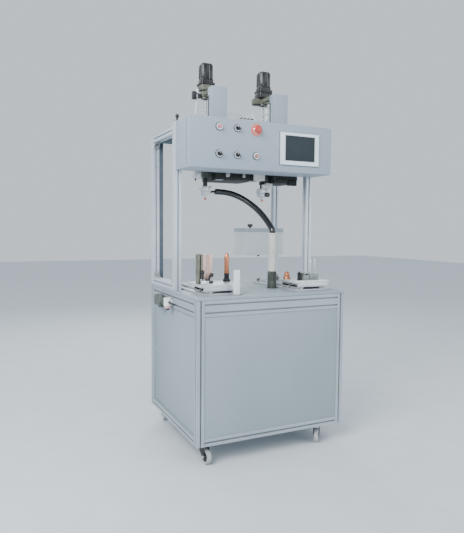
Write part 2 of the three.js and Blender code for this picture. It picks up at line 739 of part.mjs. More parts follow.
// A closed sheet housing: walls of one thickness and a round cable entry through its back wall.
function housing(x0, x1, y0, y1, z0, z1, wall) {
  const inside = [x0 + wall, x1 - wall, y0 + wall, y1 - wall, z0 + wall, z1 - wall];
  const middle = [(x0 + x1) / 2, z0 + wall + ENTRY_RISE];
  const entry = roundAlongY(ENTRY_RADIUS, ...middle, y1 - wall - 1, y1 + 1, 16);
  return cut(block(x0, x1, y0, y1, z0, z1), block(...inside), entry);
}

function underDeckUnits() {
  const top = DECK_UNDER - GAP;
  const transformer = housing(
    TRANSFORMER_LEFT,
    TRANSFORMER_RIGHT,
    TRANSFORMER_FRONT,
    TRANSFORMER_BACK,
    top - TRANSFORMER_TALL,
    top,
    TRANSFORMER_WALL,
  );
  add("welding_transformer", transformer, blackPaint);
  const drive = housing(
    DRIVE_LEFT,
    DRIVE_LEFT + DRIVE_WIDTH,
    TRANSFORMER_FRONT,
    DRIVE_BACK,
    top - DRIVE_TALL,
    top,
    SHEET,
  );
  add("servo_drive_box", drive, blackPaint);
}

// ---- welding cable ----
const HOSE_START_X = LUG_END + GAP;
const HOSE_ROUTE = [
  [HOSE_START_X, AXIS_Y, LUG_HEIGHT],
  [330, AXIS_Y, LUG_HEIGHT],
  [362, 485, 1382],
  [396, 474, 1375],
  [428, 457, 1362],
  [457, 434, 1344],
  [483, 406, 1320],
  [506, 374, 1292],
  [525, 341, 1260],
  [539, 308, 1226],
  [547, 278, 1194],
  [STANDPIPE_X, 256, STANDPIPE_TOP + 22],
  [STANDPIPE_X, STANDPIPE_Y, STANDPIPE_TOP + 10],
  [STANDPIPE_X, STANDPIPE_Y, STANDPIPE_TOP + GAP],
];

function cableHose() {
  const route = new THREE.CatmullRomCurve3(HOSE_ROUTE.map((point) => new THREE.Vector3(...point)));
  const outline = [];
  for (let i = 0; i < HOSE_SIDES; i += 1) {
    const angle = (i / HOSE_SIDES) * 2 * Math.PI;
    outline.push(new THREE.Vector2(Math.cos(angle), Math.sin(angle)).multiplyScalar(HOSE_RADIUS));
  }
  const options = { steps: HOSE_STEPS, extrudePath: route, bevelEnabled: false };
  add("welding_cable", new THREE.ExtrudeGeometry(new THREE.Shape(outline), options), rubber);
}

function standpipe() {
  const place = [STANDPIPE_X, STANDPIPE_Y];
  const foot = TABLE_HEIGHT + GAP;
  const collarTop = STANDPIPE_TOP - COLLAR_DROP;
  const pipe = join(
    round(STANDPIPE_RADIUS, ...place, foot, STANDPIPE_TOP),
    round(STANDPIPE_FOOT_RADIUS, ...place, foot, foot + STANDPIPE_FOOT_TALL),
    round(STANDPIPE_RADIUS + 3, ...place, collarTop - COLLAR_TALL, collarTop),
  );
  add("cable_standpipe", pipe, beige);
}

// The weld power unit hangs on the right rear post by a flange, and its dial stands on its top.
function powerUnit() {
  const place = [POWER_LEFT, POWER_RIGHT, POWER_FRONT, POWER_BACK, POWER_BOTTOM, POWER_TOP];
  const shell = housing(...place, SHEET);
  const flange = block(
    POWER_RIGHT - SHEET,
    FAR_X - GAP,
    FAR_Y - FLANGE_LAP,
    DEPTH - 4,
    POWER_BOTTOM + FLANGE_INSET,
    POWER_TOP - FLANGE_INSET,
  );
  const dialPlace = [POWER_LEFT + 68, POWER_FRONT + 60];
  const stemTop = POWER_TOP + 8;
  const dial = round(DIAL_RADIUS, ...dialPlace, stemTop, stemTop + 18, 20);
  const stem = round(DIAL_STEM, ...dialPlace, POWER_TOP - WELD_LAP, stemTop + WELD_LAP, 12);
  add("weld_power_unit", join(shell, flange, dial, stem), boxGrey);
}

// ---- work stations ----
function railPlaces(side) {
  const sign = side === 0 ? 1 : -1;
  return SHUTTLE_RAIL_OFFSET.map((offset) => AXIS_X[side] + sign * offset);
}

// A base plate with two rails. The left one has a guard post at its front edge.
function stationBase(side) {
  const low = TABLE_HEIGHT + GAP;
  const plateTop = low + BASE_THICK;
  const [x0, x1] = mirrored(side, AXIS_X[side], BASE_OUTER, BASE_INNER);
  const half = SHUTTLE_RAIL_WIDTH / 2;
  const along = [BASE_FRONT + SHUTTLE_RAIL_INSET, BASE_BACK - SHUTTLE_RAIL_INSET];
  const level = [plateTop - WELD_LAP, plateTop + SHUTTLE_RAIL_TALL];
  const rails = railPlaces(side).map((x) => block(x - half, x + half, ...along, ...level));
  const pieces = [block(x0, x1, BASE_FRONT, BASE_BACK, low, plateTop), ...rails];
  if (side === 0) {
    const guardRight = AXIS_X[side] - 4;
    const across = [guardRight - GUARD_WIDTH, guardRight];
    const guardBack = BASE_FRONT - GUARD_SETBACK + WELD_LAP;
    pieces.push(block(...across, GUARD_FRONT, guardBack, low, low + GUARD_TALL));
    pieces.push(block(...across, GUARD_FRONT, BASE_FRONT + WELD_LAP, low, plateTop));
  }
  add(`station_base_${SIDES[side]}`, join(...pieces), steel);
}

// The jig on the shuttle's plate: a tall nest on its bracket on the left, a low block with two guide
// rods on the right.
function jig(side, x0, x1, low) {
  const level = (tall) => [low - WELD_LAP, low + tall];
  if (side === 0) {
    const face = x0 + JIG_BACK.width / 2;
    const nest = [face - WELD_LAP, face - WELD_LAP + JIG_NEST.width];
    return [
      block(face - JIG_BACK.width, face, JIG_BACK.front, JIG_BACK.back, ...level(JIG_BACK.tall)),
      block(...nest, JIG_NEST.front, JIG_NEST.back, ...level(JIG_NEST.tall)),
    ];
  }
  const right = x1 - JIG_BLOCK.inset;
  const middle = right - JIG_BLOCK.width / 2;
  const rodY = JIG_BLOCK.front + 18;
  const rods = [-1, 1].map((sign) => {
    const x = middle + (sign * JIG_ROD_SPREAD) / 2;
    return round(JIG_ROD_RADIUS, x, rodY, ...level(JIG_ROD_TALL), 12);
  });
  const along = [JIG_BLOCK.front, JIG_BLOCK.back];
  return [block(right - JIG_BLOCK.width, right, ...along, ...level(JIG_BLOCK.tall)), ...rods];
}

function shuttle(side) {
  const low = TABLE_HEIGHT + GAP + BASE_THICK + RUNNING_GAP;
  const [x0, x1] = mirrored(side, AXIS_X[side], BASE_OUTER, BASE_INNER);
  const [p0, p1] = mirrored(side, AXIS_X[side], PLATE_OUTER, PLATE_INNER);
  const half = SHUTTLE_RAIL_WIDTH / 2 + RUNNING_GAP;
  const grooveTop = low + SHUTTLE_RAIL_TALL + RUNNING_GAP;
  const grooves = railPlaces(side).map((x) =>
    block(x - half, x + half, CARRIAGE_FRONT - 1, CARRIAGE_BACK + 1, low - 1, grooveTop),
  );
  const top = CARRIAGE_TOP + PLATE_THICK;
  const pieces = [
    block(x0, x1, CARRIAGE_FRONT, CARRIAGE_BACK, low, CARRIAGE_TOP + WELD_LAP),
    block(p0, p1, PLATE_FRONT, PLATE_BACK, CARRIAGE_TOP, top),
    ...jig(side, x0, x1, top),
  ];
  add(`shuttle_${SIDES[side]}`, cut(join(...pieces), ...grooves), steel);
}

// A copper post with a domed top that the welding head presses the work against.
function lowerElectrode(side) {
  const foot = CARRIAGE_TOP + PLATE_THICK + GAP;
  const tall = LOWER_ELECTRODE_TALL[side];
  const neck = LOWER_ELECTRODE_RADIUS;
  const rise = LOWER_ELECTRODE_DOME;
  const profile = [
    new THREE.Vector2(0, 0),
    new THREE.Vector2(LOWER_ELECTRODE_FOOT, 0),
    new THREE.Vector2(LOWER_ELECTRODE_FOOT, 12),
    new THREE.Vector2(neck, 14),
  ];
  const arcs = 6;
  for (let i = 0; i < arcs; i += 1) {
    const angle = (i / arcs) * (Math.PI / 2);
    profile.push(new THREE.Vector2(neck * Math.cos(angle), tall - rise + rise * Math.sin(angle)));
  }
  profile.push(new THREE.Vector2(0, tall));
  const post = new THREE.LatheGeometry(profile, 24).rotateX(Math.PI / 2);
  add(`lower_electrode_${SIDES[side]}`, post.translate(AXIS_X[side], LOWER_ELECTRODE_Y, foot), copper);
}

// ---- air service unit on the left side of the cabinet ----
// A filter block, a pipe forward from it, and a regulator with its bowl and drain.
function airUnit() {
  const wall = -GAP;
  const bowlX = BOWL_RADIUS - AIR_REACH;
  const bowlLow = FILTER_BOTTOM + 6;
  const pipeHeight = FILTER_BOTTOM + 42;
  const pipe = [BOWL_Y + 8, FILTER_FRONT + 4];
  const unit = join(
    block(-FILTER_REACH, wall, FILTER_FRONT, FILTER_BACK, FILTER_BOTTOM, FILTER_BOTTOM + FILTER_TALL),
    roundAlongY(AIR_PIPE_RADIUS, bowlX + 2, pipeHeight, ...pipe, 12),
    round(BOWL_RADIUS, bowlX, BOWL_Y, bowlLow, bowlLow + BOWL_TALL, 20),
    block(bowlX - 6, wall, BOWL_Y - 16, BOWL_Y + 16, bowlLow + 18, bowlLow + 48),
    round(DRAIN_RADIUS, bowlX, BOWL_Y, bowlLow - 10, bowlLow + 4, 12),
  );
  add("air_service_unit", unit, castGrey);
}

cabinetPosts();
cabinetRails();
baseFrame();
cabinetPanels();
tableTop();
castors();
gantry();
deck();
controlBox();
touchPanel();
controls();
for (const side of SIDES.keys()) {
  column(side);
  motorMount(side);
  servoMotor(side);
  ramGuide(side);
  weldHead(side);
  stationBase(side);
  shuttle(side);
  lowerElectrode(side);
}
underDeckUnits();
cableHose();
standpipe();
powerUnit();
airUnit();

// The part's origin is the middle of its footprint on the floor.
machine.position.set(-(WIDTH - AIR_REACH) / 2, -DEPTH / 2, 0);
const group = new THREE.Group();
group.name = "spot_welder";
group.add(machine);

export default group;
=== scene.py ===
import math

import bmesh
import bpy
from mathutils import Matrix, Vector


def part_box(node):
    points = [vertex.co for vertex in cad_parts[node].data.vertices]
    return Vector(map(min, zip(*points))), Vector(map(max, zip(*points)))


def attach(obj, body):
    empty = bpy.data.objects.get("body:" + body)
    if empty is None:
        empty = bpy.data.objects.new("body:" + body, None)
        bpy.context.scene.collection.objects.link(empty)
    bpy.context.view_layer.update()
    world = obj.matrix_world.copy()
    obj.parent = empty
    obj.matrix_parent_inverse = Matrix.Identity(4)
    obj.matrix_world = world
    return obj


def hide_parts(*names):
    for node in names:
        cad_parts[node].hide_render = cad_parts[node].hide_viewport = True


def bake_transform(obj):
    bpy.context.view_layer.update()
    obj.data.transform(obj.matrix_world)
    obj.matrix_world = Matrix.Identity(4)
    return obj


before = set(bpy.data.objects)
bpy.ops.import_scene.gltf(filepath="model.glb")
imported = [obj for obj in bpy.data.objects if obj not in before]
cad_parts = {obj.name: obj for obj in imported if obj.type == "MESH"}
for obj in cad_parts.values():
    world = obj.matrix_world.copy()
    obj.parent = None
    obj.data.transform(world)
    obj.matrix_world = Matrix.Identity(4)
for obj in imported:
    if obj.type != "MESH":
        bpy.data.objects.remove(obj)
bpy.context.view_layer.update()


# ---- Camera ----
# The machine is seen from its front left, from a little above half its height, so that the front, the left
# side and the underside of the control box all show.
CAMERA_PLACE = (-1.3443, -2.7196, 1.1788)
CAMERA_YAW = math.radians(25.45)
CAMERA_PITCH = math.radians(3.82)
CAMERA_ROLL = math.radians(0.49)
CAMERA_LENS = 35.93
CAMERA_SHIFT = (0.001, -0.0066)


def make_camera():
    forward = Vector(
        (
            math.sin(CAMERA_YAW) * math.cos(CAMERA_PITCH),
            math.cos(CAMERA_YAW) * math.cos(CAMERA_PITCH),
            -math.sin(CAMERA_PITCH),
        )
    )
    level = Vector((math.cos(CAMERA_YAW), -math.sin(CAMERA_YAW), 0))
    upright = level.cross(forward)
    right = level * math.cos(CAMERA_ROLL) + upright * math.sin(CAMERA_ROLL)
    up = upright * math.cos(CAMERA_ROLL) - level * math.sin(CAMERA_ROLL)
    data = bpy.data.cameras.new("camera")
    data.lens = CAMERA_LENS
    data.shift_x, data.shift_y = CAMERA_SHIFT
    camera = bpy.data.objects.new("camera", data)
    turn = Matrix((right, up, -forward)).transposed().to_4x4()
    camera.matrix_world = Matrix.Translation(CAMERA_PLACE) @ turn
    bpy.context.collection.objects.link(camera)
    bpy.context.scene.camera = camera


make_camera()


# ---- Welding cable ----
# The welding cable runs in a thick black rubber hose. It leaves the lug of the left head level, and curves
# down and forward into the collar at the top of the standpipe on the table.
HOSE_RADIUS = 0.017
HOSE_SIDES = 28
HOSE_STEP = 0.008
MACHINE_ORIGIN = Vector((-0.407, -0.375, 0))
HOSE_POINTS_MM = [
    (302.3, 490, 1384),
    (330, 490, 1384),
    (362, 485, 1382),
    (396, 474, 1375),
    (428, 457, 1362),
    (457, 434, 1344),
    (483, 406, 1320),
    (506, 374, 1292),
    (525, 341, 1260),
    (539, 308, 1226),
    (547, 278, 1194),
    (550, 256, 1172),
    (550, 250, 1160),
    (550, 250, 1150.3),
]


def new_finish(name):
    """A material with its shader, ready for a procedural pattern on Object coordinates."""
    material = bpy.data.materials.new(name)
    material.use_nodes = True
    nodes = material.node_tree.nodes
    shader = nodes["Principled BSDF"]
    coords = nodes.new("ShaderNodeTexCoord")
    return material, nodes, material.node_tree.links, shader, coords


def add_noise(nodes, links, coords, scale, detail=3.0, stretch=(1, 1, 1)):
    """Noise in Object space; stretch squeezes it along an axis, for a brushed or drawn grain."""
    mapping = nodes.new("ShaderNodeMapping")
    mapping.inputs["Scale"].default_value = stretch
    noise = nodes.new("ShaderNodeTexNoise")
    noise.inputs["Scale"].default_value = scale
    noise.inputs["Detail"].default_value = detail
    links.new(coords.outputs["Object"], mapping.inputs["Vector"])
    links.new(mapping.outputs["Vector"], noise.inputs["Vector"])
    return noise


def add_ramp(nodes, links, source, low, high, start=0.35, end=0.65):
    ramp = nodes.new("ShaderNodeValToRGB")
    ramp.color_ramp.elements[0].position = start
    ramp.color_ramp.elements[1].position = end
    ramp.color_ramp.elements[0].color = (*low, 1)
    ramp.color_ramp.elements[1].color = (*high, 1)
    links.new(source, ramp.inputs["Fac"])
    return ramp


def make_finish(
    name,
    low,
    high,
    roughness,
    metallic=0.0,
    cloud=6,
    grain=500,
    stretch=(1, 1, 1),
    relief=0.05,
    depth=0.0003,
    coat=0.0,
):
    """A surface with slow clouding between two tones, a grain in its gloss and a fine relief."""
    material, nodes, links, shader, coords = new_finish(name)
    clouds = add_noise(nodes, links, coords, cloud, 4)
    tones = add_ramp(nodes, links, clouds.outputs["Fac"], low, high)
    links.new(tones.outputs["Color"], shader.inputs["Base Color"])
    fine = add_noise(nodes, links, coords, grain, 2, stretch)
    gloss = nodes.new("ShaderNodeMapRange")
    gloss.inputs["To Min"].default_value = roughness[0]
    gloss.inputs["To Max"].default_value = roughness[1]
    links.new(fine.outputs["Fac"], gloss.inputs["Value"])
    links.new(gloss.outputs["Result"], shader.inputs["Roughness"])
    bump = nodes.new("ShaderNodeBump")
    bump.inputs["Strength"].default_value = relief
    bump.inputs["Distance"].default_value = depth
    links.new(fine.outputs["Fac"], bump.inputs["Height"])
    links.new(bump.outputs["Normal"], shader.inputs["Normal"])
    shader.inputs["Metallic"].default_value = metallic
    shader.inputs["Coat Weight"].default_value = coat
    return material


hose_rubber = make_finish(
    "hose_rubber", (0.008, 0.009, 0.010), (0.018, 0.020, 0.022), (0.15, 0.22), grain=900, relief=0.06,
    coat=0.5
)
bright_steel = make_finish(
    "bright_steel", (0.58, 0.59, 0.60), (0.74, 0.75, 0.76), (0.16, 0.32), 1.0, grain=260, stretch=(
        1, 1, 8
    ), relief=0.03
)


def smooth_line(points, step):
    """Points a step apart along a Catmull-Rom curve through the given ones."""
    line = []
    for i in range(len(points) - 1):
        before = points[i - 1] if i else points[0] * 2 - points[1]
        after = points[i + 2] if i + 2 < len(points) else points[-1] * 2 - points[-2]
        here, there = points[i], points[i + 1]
        count = max(1, round((there - here).length / step))
        for k in range(count):
            t = k / count
            line.append(
                0.5
                * (
                    2 * here
                    + (there - before) * t
                    + (2 * before - 5 * here + 4 * there - after) * t**2
                    + (3 * here - before - 3 * there + after) * t**3
                )
            )
    return line + [points[-1]]


def add_tube(bm, line, radius, sides, capped=True):
    """A round tube along a line of points, with no twist; radius is a number or one for each point."""
    rings = []
    across = (line[1] - line[0]).orthogonal().normalized()
    for i, point in enumerate(line):
        ahead = (line[min(i + 1, len(line) - 1)] - line[max(i - 1, 0)]).normalized()
        across = (across - ahead * across.dot(ahead)).normalized()
        other = ahead.cross(across)
        size = radius if isinstance(radius, float) else radius[i]
        ring = []
        for k in range(sides):
            angle = 2 * math.pi * k / sides
            place = point + across * (size * math.cos(angle)) + other * (size * math.sin(angle))
            ring.append(bm.verts.new(place))
        rings.append(ring)
    for low, high in zip(rings, rings[1:]):
        for k in range(sides):
            j = (k + 1) % sides
            bm.faces.new((low[k], low[j], high[j], high[k]))
    if capped:
        bm.faces.new(reversed(rings[0]))
        bm.faces.new(rings[-1])


def finish_piece(name, bm, body, material, replaces=(), sharp=35):
    """Turns a bmesh into a piece that is smooth up to the sharp angle and rides on a body."""
    for face in bm.faces:
        face.smooth = True
    for edge in bm.edges:
        edge.smooth = len(edge.link_faces) == 2 and edge.calc_face_angle(0) < math.radians(sharp)
    mesh = bpy.data.meshes.new(name)
    bm.to_mesh(mesh)
    bm.free()
    mesh.materials.append(material)
    piece = bpy.data.objects.new(name, mesh)
    bpy.context.collection.objects.link(piece)
    if replaces:
        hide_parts(*replaces)
    if body:
        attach(piece, body)
    return piece


def make_hose():
    route = [MACHINE_ORIGIN + Vector(point) / 1000 for point in HOSE_POINTS_MM]
    line = smooth_line(route, HOSE_STEP)
    bm = bmesh.new()
    add_tube(bm, line, HOSE_RADIUS, HOSE_SIDES)
    hose = finish_piece("welding_cable_hose", bm, None, hose_rubber, ["welding_cable"], 60)
    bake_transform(hose)


make_hose()


# ---- Floor and light ----
# A plain pale floor under a pale sky, with a large soft light high on the left, a weak one on the right and
# a third one behind.
FLOOR_SIZE = 14
FLOOR_SINK = 0.0005


def make_floor():
    bm = bmesh.new()
    bmesh.ops.create_grid(bm, x_segments=4, y_segments=4, size=FLOOR_SIZE)
    bm.transform(Matrix.Translation((0, 2, -FLOOR_SINK)))
    mesh = bpy.data.meshes.new("floor")
    bm.to_mesh(mesh)
    bm.free()
    floor = bpy.data.objects.new("floor", mesh)
    mesh.materials.append(
        make_finish(
            "floor_paint", (0.64, 0.69, 0.73), (0.67, 0.72, 0.76), (0.75, 0.85), grain=40, relief=0.02
        )
    )
    bpy.context.collection.objects.link(floor)


def make_light(name, place, aim, size, power, tint=(1, 1, 1)):
    data = bpy.data.lights.new(name, "AREA")
    data.size = size
    data.energy = power
    data.color = tint
    light = bpy.data.objects.new(name, data)
    light.location = place
    light.rotation_euler = (Vector(aim) - Vector(place)).to_track_quat("-Z", "Y").to_euler()
    bpy.context.collection.objects.link(light)


def make_sky():
    world = bpy.data.worlds.new("sky")
    world.use_nodes = True
    world.node_tree.nodes["Background"].inputs["Color"].default_value = (0.80, 0.88, 0.96, 1)
    world.node_tree.nodes["Background"].inputs["Strength"].default_value = 0.95
    bpy.context.scene.world = world


make_floor()
make_light("key_light", (-3.2, -2.2, 3.4), (0, 0, 1.0), 2.6, 250)
make_light("fill_light", (2.6, -3.6, 2.2), (0, 0, 1.1), 3.0, 55)
make_light("back_light", (0.5, 3.4, 3.2), (0, 0, 1.2), 2.6, 70)
make_sky()


# ---- Slotted profile frame ----
# Posts, rails and beams are extruded aluminium, 40 mm to a module, clear anodised, with a T-slot along the
# middle of each module's faces and a core bore. Angle brackets bolted into the slots join them.
MODULE = 0.040
SLOT_HALF = 0.004
CAVITY_HALF = 0.008
LIP = 0.0045
SLOT_DEEP = 0.011
CORNER_ROUND = 0.0022
LIP_ROUND = 0.0006
CORE_RADIUS = 0.0034

anodised = make_finish(
    "anodised_profile", (0.37, 0.42, 0.46), (0.43, 0.48, 0.52), (
        0.34, 0.46
    ), 0.35, cloud=3, grain=700, relief=0.04
)
# A lighter copy of the same clear anodised finish for the gantry bars. This is a painted highlight: these
# bars are the same metal and only catch more light.
painted_highlight_anodised = make_finish(
    "bright_anodised_profile", (0.52, 0.58, 0.64), (0.61, 0.67, 0.73), (
        0.34, 0.46
    ), 0.25, cloud=3, grain=700, relief=0.04
)


def module_side(length):
    """One side of the section, from its left corner, as (along, inward) points."""
    points = []
    for k in range(4):
        angle = math.pi / 2 * (k + 1) / 5
        points.append(
            (CORNER_ROUND * (1 - math.sin(angle)) - length / 2, CORNER_ROUND * (1 - math.cos(angle)))
        )
    points = [(a, b) for a, b in reversed(points)]
    centre = -length / 2 + MODULE / 2
    while centre < length / 2:
        for along, inward in (
            (-SLOT_HALF - LIP_ROUND, 0),
            (-SLOT_HALF, LIP_ROUND),
            (-SLOT_HALF, LIP),
            (-CAVITY_HALF, LIP),
            (-CAVITY_HALF, LIP + 0.0015),
            (-SLOT_HALF, SLOT_DEEP),
            (SLOT_HALF, SLOT_DEEP),
            (CAVITY_HALF, LIP + 0.0015),
            (CAVITY_HALF, LIP),
            (SLOT_HALF, LIP),
            (SLOT_HALF, LIP_ROUND),
            (SLOT_HALF + LIP_ROUND, 0),
        ):
            points.append((centre + along, inward))
        centre += MODULE
    return points


def profile_section(width, height):
    outline = []
    for k, (length, reach) in enumerate(
        ((width, height), (height, width), (width, height), (height, width))
    ):
        turn = Matrix.Rotation(k * math.pi / 2, 2)
        for along, inward in module_side(length):
            outline.append(turn @ Vector((along, inward - reach / 2)))
    return outline


def add_profile(bm, low, high):
    """A slotted bar that fills the box; its length is the box's longest side."""
    size = high - low
    along = max(range(3), key=lambda k: size[k])
    u, v = (along + 1) % 3, (along + 2) % 3
    centre = (low + high) / 2
    loops = [profile_section(size[u], size[v])]
    for i in range(round(size[u] / MODULE)):
        for j in range(round(size[v] / MODULE)):
            middle = Vector(((i + 0.5) * MODULE - size[u] / 2, (j + 0.5) * MODULE - size[v] / 2))
            angles = [-2 * math.pi * k / 12 for k in range(12)]
            loops.append([middle + CORE_RADIUS * Vector((math.cos(a), math.sin(a))) for a in angles])
    ends = {}
    for level in (low[along], high[along]):
        ends[level] = []
        for loop in loops:
            ring = []
            for point in loop:
                place = Vector((0, 0, 0))
                place[along] = level
                place[u] = centre[u] + point[0]
                place[v] = centre[v] + point[1]
                ring.append(bm.verts.new(place))
            ends[level].append(ring)
    for near, far in zip(ends[low[along]], ends[high[along]]):
        for k in range(len(near)):
            j = (k + 1) % len(near)
            bm.faces.new((near[k], near[j], far[j], far[k]))
    for rings in ends.values():
        edges = [
            bm.edges.get((ring[k], ring[(k + 1) % len(ring)])) for ring in rings for k in range(len(ring))
        ]
        bmesh.ops.triangle_fill(bm, use_beauty=True, edges=edges)
    bmesh.ops.recalc_face_normals(bm, faces=bm.faces)


CABINET_BARS = [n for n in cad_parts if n.startswith(("cabinet_post", "top_rail"))]
GANTRY_BARS = [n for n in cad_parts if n.startswith(("gantry_post", "side_beam", "foot_beam"))]


def make_profiles(bars, material):
    for node in bars:
        bm = bmesh.new()
        add_profile(bm, *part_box(node))
        finish_piece(node + "_profile", bm, "machine", material, [node], 25)


make_profiles(CABINET_BARS, anodised)
# The gantry bars take the lighter copy, a painted highlight on the same anodised metal.
make_profiles(GANTRY_BARS, painted_highlight_anodised)


# ---- Cabinet panels, base and table ----
# Painted steel sheets, 3 mm thick, close the four sides of the cabinet, and a thicker painted plate lies on
# top. The base is four profile bars around a floor tray, with a welded pad for each castor. Screws hold the
# panels.
SHEET_EDGE = 0.0008
TABLE_EDGE = 0.0025
SCREW_HEAD = 0.0042
SCREW_TALL = 0.0024
LOUVRE_COUNT = 9
LOUVRE_PITCH = 0.022
LOUVRE_HALF = 0.11
LOUVRE_DROP = 0.09

panel_paint = make_finish(
    "panel_paint", (0.278, 0.340, 0.378), (0.305, 0.365, 0.405), (
        0.38, 0.50
    ), cloud=2.2, grain=420, relief=0.12
)
tray_zinc = make_finish(
    "tray_zinc", (0.42, 0.45, 0.48), (0.60, 0.63, 0.65), (0.32, 0.55), 0.8, cloud=26, grain=90
)


def add_box(bm, low, high, edge=0.0008, rows=2):
    """A box from one corner to the other, with rounded edges."""
    low, high = Vector(low), Vector(high)
    turn = Matrix.Translation((low + high) / 2) @ Matrix.Diagonal((*(high - low), 1))
    made = bmesh.ops.create_cube(bm, size=1, matrix=turn)["verts"]
    if edge:
        rims = {rim for vert in made for rim in vert.link_edges}
        bmesh.ops.bevel(bm, geom=list(rims), offset=edge, segments=rows, profile=0.5, affect="EDGES")


def at(x, y, z):
    """A place given in millimetres from the cabinet's front left corner on the floor."""
    return MACHINE_ORIGIN + Vector((x, y, z)) / 1000


def make_sheets():
    for node in ("front_panel", "rear_panel", "left_panel", "right_panel"):
        bm = bmesh.new()
        add_box(bm, *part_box(node), SHEET_EDGE)
        finish_piece(node + "_sheet", bm, "machine", panel_paint, [node])
    bm = bmesh.new()
    add_box(bm, *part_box("table_top"), TABLE_EDGE, 3)
    finish_piece("table_plate", bm, "machine", panel_paint, ["table_top"])


def make_base():
    low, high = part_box("base_frame")
    floor_top = high[2]
    bar_top = at(0, 0, 143).z
    bar_low = bar_top - MODULE
    bm = bmesh.new()
    inner = [low[0] + MODULE, high[0] - MODULE]
    add_profile(
        bm, Vector((low[0], low[1] + MODULE, bar_low)), Vector((low[0] + MODULE, high[1] - MODULE, bar_top))
    )
    add_profile(
        bm, Vector((high[0] - MODULE, low[1] + MODULE, bar_low)),
        Vector((high[0], high[1] - MODULE, bar_top))
    )
    add_profile(bm, Vector((inner[0], low[1], bar_low)), Vector((inner[1], low[1] + MODULE, bar_top)))
    add_profile(bm, Vector((inner[0], high[1] - MODULE, bar_low)), Vector((inner[1], high[1], bar_top)))
    finish_piece("base_bars", bm, "machine", anodised, ["base_frame"], 25)
    bm = bmesh.new()
    add_box(bm, (inner[0], low[1] + 0.02, floor_top - 0.004), (inner[1], high[1] - 0.02, floor_top), 0.0008)
    finish_piece("base_tray", bm, "machine", tray_zinc)


def screw_mesh(name, radius, tall, material):
    """A button-head screw standing on its z = 0, with a hexagon socket."""
    bm = bmesh.new()
    outline = [(radius, 0), (radius * 0.97, tall * 0.35), (radius * 0.75, tall * 0.8), (radius * 0.5, tall)]
    rings = []
    for across, up in outline:
        rings.append(
            [
                (across * math.cos(k * math.pi / 6), across * math.sin(k * math.pi / 6), up)
                for k in range(12)
            ]
        )
    for up in (tall * 0.98, tall * 0.45):
        across = radius * 0.42
        rings.append(
            [
                (across * math.cos(k * math.pi / 6), across * math.sin(k * math.pi / 6), up)
                for k in range(12)
            ]
        )
    loops = [[bm.verts.new(point) for point in ring] for ring in rings]
    for inner, outer in zip(loops, loops[1:]):
        for k in range(12):
            j = (k + 1) % 12
            bm.faces.new((inner[k], inner[j], outer[j], outer[k]))
    bm.faces.new(reversed(loops[0]))
    bm.faces.new(loops[-1])
    mesh = bpy.data.meshes.new(name)
    bm.to_mesh(mesh)
    bm.free()
    mesh.materials.append(material)
    return mesh


def screw_tree():
    """Stands one screw on each point, along the point's own direction."""
    tree = bpy.data.node_groups.new("screws_on_points", "GeometryNodeTree")
    tree.interface.new_socket("Geometry", in_out="INPUT", socket_type="NodeSocketGeometry")
    screw = tree.interface.new_socket("Screw", in_out="INPUT", socket_type="NodeSocketObject")
    size = tree.interface.new_socket("Screw Size", in_out="INPUT", socket_type="NodeSocketFloat")
    finish = tree.interface.new_socket("Finish", in_out="INPUT", socket_type="NodeSocketMaterial")
    tree.interface.new_socket("Geometry", in_out="OUTPUT", socket_type="NodeSocketGeometry")
    nodes, links = tree.nodes, tree.links
    start, end = nodes.new("NodeGroupInput"), nodes.new("NodeGroupOutput")
    facing = nodes.new("GeometryNodeInputNamedAttribute")
    facing.data_type = "FLOAT_VECTOR"
    facing.inputs["Name"].default_value = "facing"
    turn = nodes.new("FunctionNodeAlignRotationToVector")
    turn.axis = "Z"
    info = nodes.new("GeometryNodeObjectInfo")
    stand = nodes.new("GeometryNodeInstanceOnPoints")
    realize = nodes.new("GeometryNodeRealizeInstances")
    paint = nodes.new("GeometryNodeSetMaterial")
    links.new(facing.outputs["Attribute"], turn.inputs["Vector"])
    links.new(start.outputs["Screw"], info.inputs["Object"])
    links.new(start.outputs["Geometry"], stand.inputs["Points"])
    links.new(info.outputs["Geometry"], stand.inputs["Instance"])
    links.new(turn.outputs["Rotation"], stand.inputs["Rotation"])
    links.new(start.outputs["Screw Size"], stand.inputs["Scale"])
    links.new(stand.outputs["Instances"], realize.inputs["Geometry"])
    links.new(realize.outputs["Geometry"], paint.inputs["Geometry"])
    links.new(start.outputs["Finish"], paint.inputs["Material"])
    links.new(paint.outputs["Geometry"], end.inputs["Geometry"])
    return tree, screw.identifier, size.identifier, finish.identifier


SCREW_TREE = screw_tree()


def make_screws(name, body, places, size=1.0, material=bright_steel):
    """Screws of one size on a body; each place is a point and the direction that its head faces."""
    tree, screw_input, size_input, finish_input = SCREW_TREE
    mesh = bpy.data.meshes.new(name + "_points")
    mesh.from_pydata([point for point, _ in places], [], [])
    facing = mesh.attributes.new("facing", "FLOAT_VECTOR", "POINT")
    for k, (_, direction) in enumerate(places):
        facing.data[k].vector = direction
    carrier = bpy.data.objects.new(name + "_points", mesh)
    pattern = bpy.data.objects.new(
        name + "_one", screw_mesh(name + "_one", SCREW_HEAD, SCREW_TALL, material)
    )
    bpy.context.collection.objects.link(carrier)
    bpy.context.collection.objects.link(pattern)
    modifier = carrier.modifiers.new("screws", "NODES")
    modifier.node_group = tree
    modifier[screw_input] = pattern
    modifier[size_input] = size
    modifier[finish_input] = material
    bpy.context.view_layer.update()
    graph = bpy.context.evaluated_depsgraph_get()
    final = bpy.data.meshes.new_from_object(carrier.evaluated_get(graph))
    carrier.modifiers.remove(modifier)
    bpy.data.objects.remove(carrier)
    bpy.data.objects.remove(pattern)
    bm = bmesh.new()
    bm.from_mesh(final)
    bpy.data.meshes.remove(final)
    return finish_piece(name, bm, body, material, sharp=40)


def outward_piece(name, bm, body, material, replaces=(), sharp=35):
    """Finishes a piece with all its faces turned outward, as lathed and plate shapes need."""
    bmesh.ops.recalc_face_normals(bm, faces=bm.faces)
    return finish_piece(name, bm, body, material, replaces, sharp)


